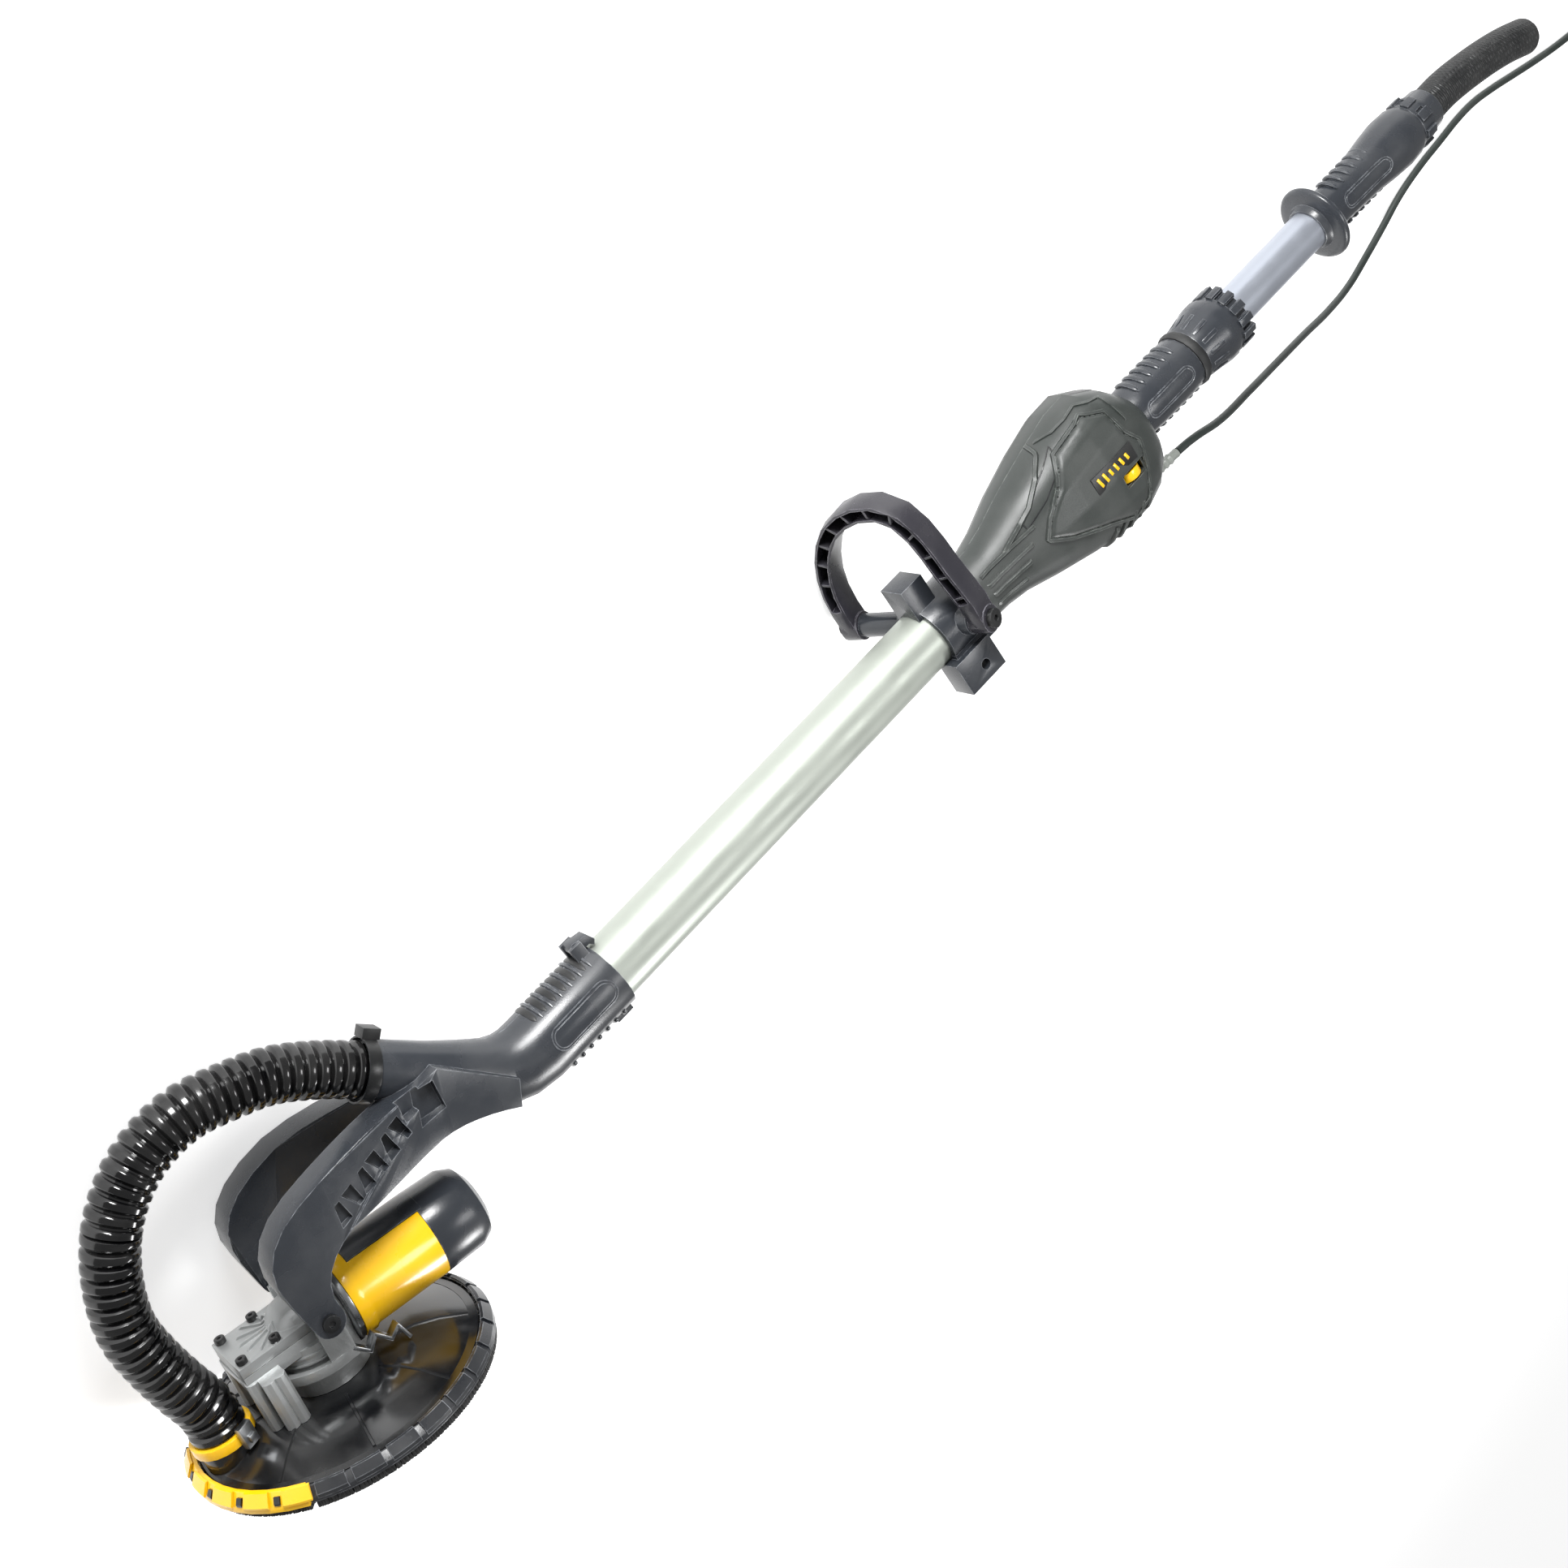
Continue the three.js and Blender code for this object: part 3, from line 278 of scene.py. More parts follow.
class Paintshop:
    """Makes each finish's material once and hands it out."""

    def __init__(self) -> None:
        """Makes the shared effects and an empty shelf of materials."""
        self.made: dict[Finish, bpy.types.Material] = {}
        self.edges = edge_wear_and_highlight_group()
        self.dust = dust_group()

    def material(self, finish: Finish) -> bpy.types.Material:
        """Gives the material of a finish.

        Args:
            finish: the finish.

        Returns:
            Its material.
        """
        if finish not in self.made:
            self.made[finish] = self._mix(finish)
        return self.made[finish]

    def _height(self, tree, finish: Finish, place):
        """Adds the pattern's height field.

        Args:
            tree: the material's tree.
            finish: the finish.
            place: the texture coordinate node.

        Returns:
            The height's socket.
        """
        nodes, links = tree.nodes, tree.links
        if finish.pattern is Pattern.WOVEN:
            field_node = nodes.new("ShaderNodeTexWave")
            field_node.inputs["Scale"].default_value = finish.scale / 3
            field_node.inputs["Distortion"].default_value = 1.5
        elif finish.pattern is Pattern.GRIT:
            field_node = nodes.new("ShaderNodeTexVoronoi")
            field_node.inputs["Scale"].default_value = finish.scale
        else:
            field_node = nodes.new("ShaderNodeTexNoise")
            field_node.inputs["Scale"].default_value = finish.scale
            field_node.inputs["Detail"].default_value = 6
        vector = place.outputs["Object"]
        if finish.pattern is Pattern.DRAWN:
            stretch = nodes.new("ShaderNodeMapping")
            stretch.inputs["Scale"].default_value = (0.02, 1, 1)
            links.new(vector, stretch.inputs["Vector"])
            vector = stretch.outputs["Vector"]
        links.new(vector, field_node.inputs["Vector"])
        return field_node.outputs[0]

    def _mix(self, finish: Finish) -> bpy.types.Material:
        """Builds a material's nodes.

        Args:
            finish: the finish.

        Returns:
            The material.
        """
        made = bpy.data.materials.new(f"{finish.name}_{len(self.made)}")
        made.use_nodes = True
        tree = made.node_tree
        nodes, links = tree.nodes, tree.links
        shader = nodes["Principled BSDF"]
        place = nodes.new("ShaderNodeTexCoord")
        height = self._height(tree, finish, place)
        # Mixes in the edge colour on sharp edges: rubbed edges, and painted highlights along the edges of the
        # dark plastics.
        edges = nodes.new("ShaderNodeGroup")
        edges.node_tree = self.edges
        edges.inputs["Amount"].default_value = finish.wear_and_highlight
        rubbed_and_lit = nodes.new("ShaderNodeMix")
        rubbed_and_lit.data_type = "RGBA"
        rubbed_and_lit.inputs["A"].default_value = (*finish.color, 1)
        rubbed_and_lit.inputs["B"].default_value = (*finish.edge, 1)
        links.new(edges.outputs["Mask"], rubbed_and_lit.inputs["Factor"])
        dust = nodes.new("ShaderNodeGroup")
        dust.node_tree = self.dust
        dust.inputs["Amount"].default_value = 0.03
        links.new(rubbed_and_lit.outputs["Result"], dust.inputs["Color"])
        links.new(dust.outputs["Color"], shader.inputs["Base Color"])
        gloss = nodes.new("ShaderNodeMapRange")
        gloss.inputs["To Min"].default_value = finish.roughness - 0.04
        gloss.inputs["To Max"].default_value = finish.roughness + 0.08
        links.new(dust.outputs["Mask"], gloss.inputs["Value"])
        links.new(gloss.outputs[0], shader.inputs["Roughness"])
        bump = nodes.new("ShaderNodeBump")
        bump.inputs["Strength"].default_value = finish.depth
        bump.inputs["Distance"].default_value = 0.0003
        links.new(height, bump.inputs["Height"])
        links.new(bump.outputs["Normal"], shader.inputs["Normal"])
        shader.inputs["Metallic"].default_value = finish.metallic
        shader.inputs["Coat Weight"].default_value = finish.coat
        shader.inputs["Coat Roughness"].default_value = 0.12
        return made


# ------------------------------------------------------------------ spaces
@dataclass(frozen=True)
class ToolSpace:
    """The tool's own frame in millimetres and how it lies in the stored frame."""

    matrix: Matrix

    @classmethod
    def lying(cls, roll: float, pitch: float, joints: list[dict]) -> ToolSpace:
        """Places the tool frame by its two resting angles and the collar's joint.

        Args:
            roll: degrees about the pole.
            pitch: degrees that the tail is lifted.
            joints: the record's joints.

        Returns:
            The space.
        """
        turn = Matrix.Rotation(math.radians(pitch), 4, "Y") @ Matrix.Rotation(math.radians(roll), 4, "X")
        collar = next(j for j in joints if j["name"] == "collar_twist")
        shift = Vector(collar["pos_m"]) - turn @ Vector((0.753, 0, 0.006))
        return cls(Matrix.Translation(shift) @ turn @ Matrix.Scale(MM, 4))

    def sub(self, matrix: Matrix) -> Matrix:
        """Gives a smaller frame inside this one.

        Args:
            matrix: the smaller frame's place, in millimetres.

        Returns:
            Its whole matrix.
        """
        return self.matrix @ matrix


def head_frame() -> Matrix:
    """Gives the head's frame in the tool frame: x along the motor, z away from the wall."""
    return Matrix.Translation((-346.6, 0, -81.6)) @ Matrix.Rotation(math.radians(12.6), 4, "Y")


def handle_frame() -> Matrix:
    """Gives the D-handle's frame in the tool frame: y along its tilt axis, z up its legs."""
    across = Vector((-34, 100, 11)).normalized()
    flat = Vector((across.y, -across.x, 0)).normalized()
    up = flat.cross(across)
    turn = Matrix((flat, across, up)).transposed().to_4x4()
    return Matrix.Translation((391, 0, 4.6)) @ turn


# ------------------------------------------------------------------ curves and meshes
def through(points: Sequence[Point], per: int) -> list[Vector]:
    """Runs a smooth curve through points, with spans eased by their length.

    Args:
        points: the points.
        per: how many pieces each span is cut into.

    Returns:
        The curve's points, ends included.
    """
    given = [Vector(p) for p in points]
    ends = [2 * given[0] - given[1], *given, 2 * given[-1] - given[-2]]
    made = []
    for i in range(1, len(ends) - 2):
        p0, p1, p2, p3 = ends[i - 1 : i + 3]
        d1, d2, d3 = (max((b - a).length, 1e-6) ** 0.5 for a, b in ((p0, p1), (p1, p2), (p2, p3)))
        m1 = (p1 - p0) / d1 - (p2 - p0) / (d1 + d2) + (p2 - p1) / d2
        m2 = (p2 - p1) / d2 - (p3 - p1) / (d2 + d3) + (p3 - p2) / d3
        for k in range(per):
            t = k / per
            a, b = 2 * t**3 - 3 * t**2 + 1, t**3 - 2 * t**2 + t
            c, d = -2 * t**3 + 3 * t**2, t**3 - t**2
            made.append(a * p1 + b * d2 * m1 + c * p2 + d * d2 * m2)
    return [*made, given[-1]]


def evenly(points: Sequence[Vector], step: float, start: float = 0, stop: float = 1) -> list[Vector]:
    """Resamples a line at even spacing between two shares of its length.

    Args:
        points: the line.
        step: the wished spacing.
        start: the first share of the length.
        stop: the last share of the length.

    Returns:
        The new points.
    """
    far = [0.0]
    for a, b in zip(points, points[1:]):
        far.append(far[-1] + (b - a).length)
    count = max(2, round(far[-1] * (stop - start) / step))
    made, i = [], 0
    for k in range(count + 1):
        want = far[-1] * (start + (stop - start) * k / count)
        while i < len(far) - 2 and far[i + 1] < want:
            i += 1
        share = (want - far[i]) / max(far[i + 1] - far[i], 1e-9)
        made.append(points[i].lerp(points[i + 1], min(1, share)))
    return made


@dataclass
class Draft:
    """A mesh being built in a frame of its own, in millimetres."""

    space: Matrix
    mesh: bmesh.types.BMesh = field(default_factory=bmesh.new)

    def rings(self, rings: Sequence[Sequence[Vector]], caps: bool = True, loop: bool = False) -> None:
        """Joins rings of points into a skin.

        Args:
            rings: the rings, each with the same number of points.
            caps: whether the ends are closed.
            loop: whether the last ring joins the first.
        """
        rows = [[self.mesh.verts.new(self.space @ p) for p in ring] for ring in rings]
        pairs = list(zip(rows, rows[1:]))
        if loop:
            pairs.append((rows[-1], rows[0]))
        for one, two in pairs:
            for i in range(len(one)):
                j = (i + 1) % len(one)
                self.mesh.faces.new((one[i], one[j], two[j], two[i]))
        if caps and not loop:
            self.mesh.faces.new(list(reversed(rows[0])))
            self.mesh.faces.new(rows[-1])

    def sweep(self, path: Sequence[Vector], sides: int, radius: Callable[[float, float], float]) -> None:
        """Sweeps a round section along a path.

        Args:
            path: the middle line.
            sides: how many points the section has.
            radius: gives the radius at a distance along the path and an angle round it.
        """
        far, side, rings = 0.0, None, []
        for i, at in enumerate(path):
            ahead = (path[min(i + 1, len(path) - 1)] - path[max(i - 1, 0)]).normalized()
            if side is None:
                side = ahead.orthogonal().normalized()
            side = (side - ahead * side.dot(ahead)).normalized()
            other = ahead.cross(side)
            ring = []
            for k in range(sides):
                angle = 2 * math.pi * k / sides
                reach = radius(far, angle)
                ring.append(at + side * math.cos(angle) * reach + other * math.sin(angle) * reach)
            rings.append(ring)
            far += (path[min(i + 1, len(path) - 1)] - at).length
        self.rings(rings)

    def block(self, size: Point, at: Point, turn: Matrix | None = None, soft: float = 0.6) -> None:
        """Adds a box with softened edges.

        Args:
            size: its three sides.
            at: its middle.
            turn: its turn about its middle.
            soft: the radius of its edges.
        """
        place = Matrix.Translation(at) @ (turn or Matrix.Identity(4))
        scale = Matrix.Diagonal((*size, 1))
        made = bmesh.ops.create_cube(self.mesh, size=1, matrix=place @ scale)
        edges = list({e for v in made["verts"] for e in v.link_edges})
        grown = bmesh.ops.bevel(
            self.mesh, geom=edges, offset=soft, segments=2, affect="EDGES", profile=0.5, clamp_overlap=True
        )
        moved = {v for f in grown["faces"] for v in f.verts} | {v for v in made["verts"] if v.is_valid}
        bmesh.ops.transform(self.mesh, matrix=self.space, verts=list(moved))

    def arc(self, section: Sequence[Point], low: float, high: float, steps: int) -> None:
        """Turns a closed section part of the way round the frame's z axis.

        Args:
            section: points as (radius, height), anticlockwise.
            low: the first angle in degrees.
            high: the last angle in degrees.
            steps: how many steps the turn takes.
        """
        rings = []
        for k in range(steps + 1):
            angle = math.radians(low + (high - low) * k / steps)
            rings.append([Vector((r * math.cos(angle), r * math.sin(angle), z)) for r, z in section])
        self.rings(rings)

    def lathe(self, section: Sequence[Point], sides: int) -> None:
        """Turns a closed section all the way round the frame's z axis.

        Args:
            section: points as (radius, height).
            sides: how many steps the turn takes.
        """
        rings = []
        for k in range(sides):
            angle = 2 * math.pi * k / sides
            rings.append([Vector((r * math.cos(angle), r * math.sin(angle), z)) for r, z in section])
        self.rings(rings, caps=False, loop=True)

    def finish(self, name: str, body: str, material: bpy.types.Material, slot: str) -> bpy.types.Object:
        """Turns the draft into an object that rides on a body.

        Args:
            name: the piece's name.
            body: the body that it rides on.
            material: its material.
            slot: the record's slot of its finish; not used.

        Returns:
            The object.
        """
        bmesh.ops.recalc_face_normals(self.mesh, faces=self.mesh.faces)
        return to_object(self.mesh, name, body, material)


def put_in_scene(name: str, data: bpy.types.ID) -> bpy.types.Object:
    """Makes an object of some data and links it to the scene.

    Args:
        name: the object's name.
        data: its mesh, curve, light or camera.

    Returns:
        The object.
    """
    made = bpy.data.objects.new(name, data)
    bpy.context.scene.collection.objects.link(made)
    return made


def to_object(mesh, name: str, body: str, material: bpy.types.Material) -> bpy.types.Object:
    """Makes an object of a bmesh, shades it smooth up to an angle and sets it on its body.

    Args:
        mesh: the bmesh, which is freed.
        name: the piece's name.
        body: the body that it rides on.
        material: its material.

    Returns:
        The object.
    """
    for face in mesh.faces:
        face.smooth = True
    for edge in mesh.edges:
        sharp = len(edge.link_faces) == 2 and edge.calc_face_angle(0) > SMOOTH_UP_TO
        edge.smooth = not sharp
    data = bpy.data.meshes.new(name)
    mesh.to_mesh(data)
    mesh.free()
    data.materials.append(material)
    made = put_in_scene(name, data)
    if body:
        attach(made, body)
    return made


class Skin:
    """The outer surface of some CAD nodes, on which details are laid."""

    def __init__(self, space: Matrix, nodes: Iterable[bpy.types.Object]) -> None:
        """Gathers the nodes' surface.

        Args:
            space: the frame that details are given in.
            nodes: the nodes.
        """
        self.space = space
        self.back = space.inverted()
        joined = bmesh.new()
        for node in nodes:
            joined.from_mesh(node.data)
        self.tree = BVHTree.FromBMesh(joined)
        joined.free()

    def land(self, start: Point, way: Point) -> tuple[Vector, Vector] | None:
        """Finds where a line from start first meets the surface.

        Args:
            start: where the line starts.
            way: its direction.

        Returns:
            The point and the surface's outward normal, or None where it misses.
        """
        origin = self.space @ Vector(start)
        ahead = (self.space.to_3x3() @ Vector(way)).normalized()
        hit, normal, _, _ = self.tree.ray_cast(origin, ahead)
        if hit is None:
            return None
        out = (self.back.to_3x3() @ normal).normalized()
        return self.back @ hit, out if out.dot(Vector(way)) < 0 else -out

    def strip(self, draft: Draft, route: Sequence[Point], way: Point, width: float, height: float) -> None:
        """Lays a rounded strip on the surface along a route.

        Args:
            draft: the draft that takes the strip.
            route: the points from which the strip is projected.
            way: the direction of projection.
            width: the strip's width.
            height: how far it stands out.
        """
        line = evenly([Vector(p) for p in route], 2.0)
        landed = [hit for hit in (self.land(p, way) for p in line) if hit]
        rings = []
        for i, (at, normal) in enumerate(landed):
            ahead = landed[min(i + 1, len(landed) - 1)][0] - landed[max(i - 1, 0)][0]
            if ahead.length < 1e-6:
                continue
            side = ahead.normalized().cross(normal).normalized() * (width / 2)
            shrink = 0.25 if i in (0, len(landed) - 1) else 1.0
            low, high = at - normal * 0.8, at + normal * height * shrink
            rings.append([low - side, at - side * 0.95, high - side * 0.55, high + side * 0.55,
                          at + side * 0.95, low + side])
        if len(rings) > 1:
            draft.rings(rings)

    def patch(self, draft: Draft, outline: Outline, height: float) -> None:
        """Raises the part of the surface inside an outline, seen along +y.

        Args:
            draft: the draft that takes the raised skin.
            outline: its corners as (x, z).
            height: how far the skin is raised.
        """
        step, slope, sink = 2.0, 4.0, 0.8
        xs, zs = [x for x, _ in outline], [z for _, z in outline]
        columns = int((max(xs) - min(xs)) / step) + 1
        rows = int((max(zs) - min(zs)) / step) + 1
        grid = {}
        for i in range(columns + 1):
            for k in range(rows + 1):
                at = (min(xs) + i * step, min(zs) + k * step)
                hit = self.land((at[0], BESIDE, at[1]), ACROSS) if inside(at, outline) else None
                if hit:
                    lift = (height + sink) * min(1.0, edge_distance(at, outline) / slope) - sink
                    grid[i, k] = draft.mesh.verts.new(draft.space @ (hit[0] + hit[1] * lift))
        for i, k in list(grid):
            corners = [(i, k), (i + 1, k), (i + 1, k + 1), (i, k + 1)]
            if all(c in grid for c in corners):
                draft.mesh.faces.new([grid[c] for c in corners])


def inside(at: tuple[float, float], outline: Outline) -> bool:
    """Says whether a point lies inside a closed outline.

    Args:
        at: the point.
        outline: the outline's corners.

    Returns:
        True inside it.
    """
    odd = False
    for (x0, z0), (x1, z1) in zip(outline, [*outline[1:], outline[0]]):
        if (z0 > at[1]) != (z1 > at[1]) and at[0] < (x1 - x0) * (at[1] - z0) / (z1 - z0) + x0:
            odd = not odd
    return odd


def edge_distance(at: tuple[float, float], outline: Outline) -> float:
    """Gives how far a point is from a closed outline.

    Args:
        at: the point.
        outline: the outline's corners.

    Returns:
        The distance to the nearest side.
    """
    point = Vector((*at, 0))
    nearest = math.inf
    for start, end in zip(outline, [*outline[1:], outline[0]]):
        a, b = Vector((*start, 0)), Vector((*end, 0))
        share = (point - a).dot(b - a) / max((b - a).length_squared, 1e-9)
        nearest = min(nearest, (point - a - (b - a) * min(1.0, max(0.0, share))).length)
    return nearest


def stadium(low: float, high: float, middle: float, half: float) -> list[tuple[float, float]]:
    """Gives a closed oval in the xz plane.

    Args:
        low: its lowest x.
        high: its highest x.
        middle: its middle z.
        half: half its height.

    Returns:
        Its points, the first one repeated at the end.
    """
    made = []
    steps = 32
    for k in range(steps + 1):
        angle = 2 * math.pi * k / steps
        x = (low + half if math.cos(angle) < 0 else high - half) + half * math.cos(angle)
        made.append((x, middle + half * math.sin(angle)))
    return made


def beside(line: Outline) -> list[Point]:
    """Sets a line of (x, z) points beside the pole, from where it is projected on a skin."""
    return [(x, BESIDE, z) for x, z in line]


# ------------------------------------------------------------------ carried-over frame pieces
PAINT: dict[str, Finish] = {
    "handle_clamp": GREY, "handle_clamp_cap": GREY, "handle_bolt_near": BLACK, "handle_bolt_far": BLACK,
    "housing_near": HOUSING, "housing_far": HOUSING, "label_plate": BLACK, "speed_board": BOARD,
    "switch_body": BLACK, "power_switch": BLACK, "speed_dial": YELLOW, "cord_gland": GLAND,
    "mid_grip": GREY, "grip_ring": RUBBER, "collet": BLACK, "twist_collar": GREY,
    "rear_grip": GREY, "hose_cuff": GREY, "d_handle": HANDLE,
    "neck_shell_near": GREY, "neck_shell_far": GREY, "neck_latch": GREY, "hose_clamp": BLACK,
    "pivot_pin_near": BLACK, "pivot_pin_far": BLACK, "gimbal_ring": CAST, "roll_pin": STEEL,
    "gearbox_housing": CAST, "gearbox_cover": CAST, "motor_cover": YELLOW, "motor_cap": GREY,
    "motor_flange": STEEL, "stator": CAST, "armature": STEEL, "spindle_bearing": STEEL,
    "spindle": STEEL, "crown_gear": STEEL, "backing_pad": RUBBER, "sanding_disc": GRIT,
    "shroud": SHROUD, "dust_connector": YELLOW, "hose_clip": STEEL, "skirt_ring": RING,
    "edge_segment": YELLOW, "power_plug": RUBBER, "cover_screw_1": BLACK, "cover_screw_2": BLACK,
    "cover_screw_3": BLACK, "cover_screw_4": BLACK,
}  # fmt: skip
HIDDEN_INSIDE = {
    "speed_board", "switch_body", "stator", "armature", "spindle_bearing", "spindle", "crown_gear",
}  # fmt: skip
SOFTER = {
    "neck_shell_near": 2.2, "neck_shell_far": 2.2, "d_handle": 2.0, "handle_clamp": 1.2,
    "handle_clamp_cap": 1.2,
}  # fmt: skip


@dataclass
class FramePieces:
    """The frame's own pieces, given softened edges and smooth shading."""

    frame: dict
    shop: Paintshop

    def body_of(self, node: str) -> str:
        """Gives the body that holds a node."""
        bodies = self.frame["record"]["behaviour"]["bodies"]
        return next(name for name, nodes in bodies.items() if node in nodes)

    def build(self) -> None:
        """Paints what stays hidden and resurfaces what shows."""
        for node, finish in PAINT.items():
            material = self.shop.material(finish)
            if node in HIDDEN_INSIDE:
                slots = self.frame["nodes"][node].data.materials
                slots.clear()
                slots.append(material)
                continue
            self.resurface(node, material, SOFTER.get(node, USUAL_EDGE))

    def resurface(self, node: str, material: bpy.types.Material, soft: float) -> None:
        """Stands a smoother copy with rounded edges in for a node.

        Args:
            node: the node.
            material: the copy's material.
            soft: the radius of its edges in millimetres.
        """
        mesh = bmesh.new()
        mesh.from_mesh(self.frame["nodes"][node].data)
        bmesh.ops.remove_doubles(mesh, verts=mesh.verts, dist=2e-6)
        bmesh.ops.dissolve_limit(
            mesh, angle_limit=math.radians(1.0), verts=mesh.verts, edges=mesh.edges,
            use_dissolve_boundaries=False,
        )  # fmt: skip
        sharp = [e for e in mesh.edges if len(e.link_faces) == 2 and e.calc_face_angle(0) > ROUND_FROM]
        bmesh.ops.bevel(
            mesh, geom=sharp, offset=soft * MM, segments=2, profile=0.6, affect="EDGES", clamp_overlap=True
        )
        made = to_object(mesh, f"{node}_shell", self.body_of(node), material)
        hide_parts(node)


# ------------------------------------------------------------------ cord
@dataclass
class PowerCord:
    """The mains lead: out of the gland, down to the floor, along it and into a neat coil."""

    shop: Paintshop
    diameter: float = 7.2
    route: tuple[Point, ...] = (
        (281.6, -67, 122.2), (300, -70.5, 122), (347, -92, 115), (405, -116, 100),
        (469, -146, 80), (539, -179, 58), (603, -210, 38), (655, -228, 23), (698, -233, 12), (738, -228, 6),
        (772, -217, 3.9), (808, -209, 3.7), (847, -205, 3.7), (878, -202, 3.7), (905, -203, 3.7),
        (937, -210, 3.7), (975, -221, 3.7), (1020, -234, 3.7), (1065, -245, 3.7), (1105, -251.5, 3.7),
        (1132.5, -253.3, 3.7),
    )  # fmt: skip
    centre: tuple[float, float] = (1160, -304)
    rings: int = 3
    layers: int = 4
    middle: float = 43.2
    per_turn: int = 20

    def coil(self) -> list[Vector]:
        """Winds the coil: outer turn to inner on one layer, back out on the next."""
        turns = self.rings * self.layers - 0.75
        made = []
        for k in range(1, round(turns * self.per_turn) + 1):
            turn = k / self.per_turn
            ease = 0.5 - 0.5 * math.cos(math.pi * min(1, max(0, (turn % 1 - 0.7) / 0.3)))
            step = int(turn) + ease
            made.append(self.at(step, math.radians(90 - 360 * turn)))
        return made

    def at(self, step: float, angle: float) -> Vector:
        """Gives the coil's point after some turns.

        Args:
            step: the turns wound so far.
            angle: the angle round the coil.

        Returns:
            The point.
        """
        layer, ring = divmod(step, self.rings)
        slide = max(0.0, ring - (self.rings - 1))
        place = min(ring, self.rings - 1)
        place = place if int(layer) % 2 == 0 else self.rings - 1 - place
        reach = self.middle + self.diameter * ((self.rings - 1) / 2 - place)
        height = 0.1 + self.diameter * (0.5 + layer // 1 + slide)
        x, y = self.centre
        return Vector((x + reach * math.cos(angle), y + reach * math.sin(angle), height))

    def build(self) -> None:
        tail = [Vector((self.centre[0] + self.middle + self.diameter, self.centre[1] - 14, 24.6)),
                Vector((self.centre[0] + 50.4, self.centre[1] - 27.0, 23.4))]
        points = [Vector(p) for p in self.route] + [*self.coil(), *tail]
        data = bpy.data.curves.new("power_lead", "CURVE")
        data.dimensions = "3D"
        data.bevel_depth = self.diameter / 2 * MM
        data.bevel_resolution = 5
        data.resolution_u = 6
        data.use_fill_caps = True
        spline = data.splines.new("BEZIER")
        spline.bezier_points.add(len(points) - 1)
        for knot, at in zip(spline.bezier_points, points):
            knot.co = at * MM
            knot.handle_left_type = knot.handle_right_type = "AUTO"
        data.materials.append(self.shop.material(CORD))
        lead = put_in_scene("power_lead", data)
        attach(lead, "pole")
        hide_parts("power_cord", "cord_coil")


# ------------------------------------------------------------------ hoses
@dataclass
class FrontHose:
    """The ribbed suction hose from the neck duct over the fork to the dust outlet."""

    space: ToolSpace
    shop: Paintshop
    route: tuple[tuple[float, float], ...] = (
        (-183.8, 90.9), (-206, 115.5), (-233, 139), (-260, 153), (-292, 165), (-322, 166), (-349, 159),
        (-377, 142), (-401, 115), (-418.5, 80), (-422.5, 48), (-422.3, 16), (-421, -8), (-424.6, -26.6),
    )  # fmt: skip
    split: float = 0.56
    pitch: float = 9.6
    outer: float = 21.0
    groove: float = 3.6

    def radius(self, far: float, _angle: float) -> float:
        """Gives the hose's radius along its length: broad round ribs with narrow grooves."""
        phase = abs((far / self.pitch) % 1 - 0.5) * 2
        return self.outer - self.groove * max(0.0, (phase - 0.42) / 0.58) ** 1.3

    def build(self) -> None:
        """Makes the hose's two lengths over the pitch and roll joints; both are set on no body."""
        line = through([(x, 0, z) for x, z in self.route], 24)
        stretches = (
            ("upper", "neck", "gimbal", 0.002, self.split),
            ("lower", "gimbal", "head", self.split, 1.0),
        )
        for name, first, second, start, stop in stretches:
            path = evenly(line, self.pitch / 8, start, stop)
            draft = Draft(self.space.matrix)
            draft.sweep(path, 40, self.radius)
            made = draft.finish(f"front_hose_{name}_ribs", "", self.shop.material(HOSE), "hose")
            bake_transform(made)
            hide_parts(f"front_hose_{name}")


@dataclass
class SleeveHose:
    """The dust hose's woven sleeve at the tail."""

    space: ToolSpace
    shop: Paintshop
    route: tuple[Point, ...] = (
        (1073, 0, 6), (1100, 0.4, 5.8), (1150, 6, -3), (1195, 13, -15), (1233, 21, -29),
    )  # fmt: skip
    outer: float = 16.9
    long: float = 168.0

    def radius(self, far: float, angle: float) -> float:
        """Gives the sleeve's radius: crossing braids in relief, rounded off at the end.

        Args:
            far: the distance along the sleeve.
            angle: the angle round it.

        Returns:
            The radius.
        """
        one, two = math.sin(far * 0.75 + angle * 5), math.sin(far * 0.75 - angle * 5)
        end = max(0.0, 1 - (self.long - far) / 5) if far < self.long else 1.0
        return self.outer - 1.1 + 1.1 * max(abs(one), abs(two)) - 2.2 * end**2

    def build(self) -> None:
        """Makes the sleeve."""
        path = evenly(through(self.route, 20), 0.8)
        draft = Draft(self.space.matrix)
        draft.sweep(path, 64, self.radius)
        made = draft.finish("sleeve_weave", "rear", self.shop.material(SLEEVE), "rubber")
        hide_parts("sleeve_hose")


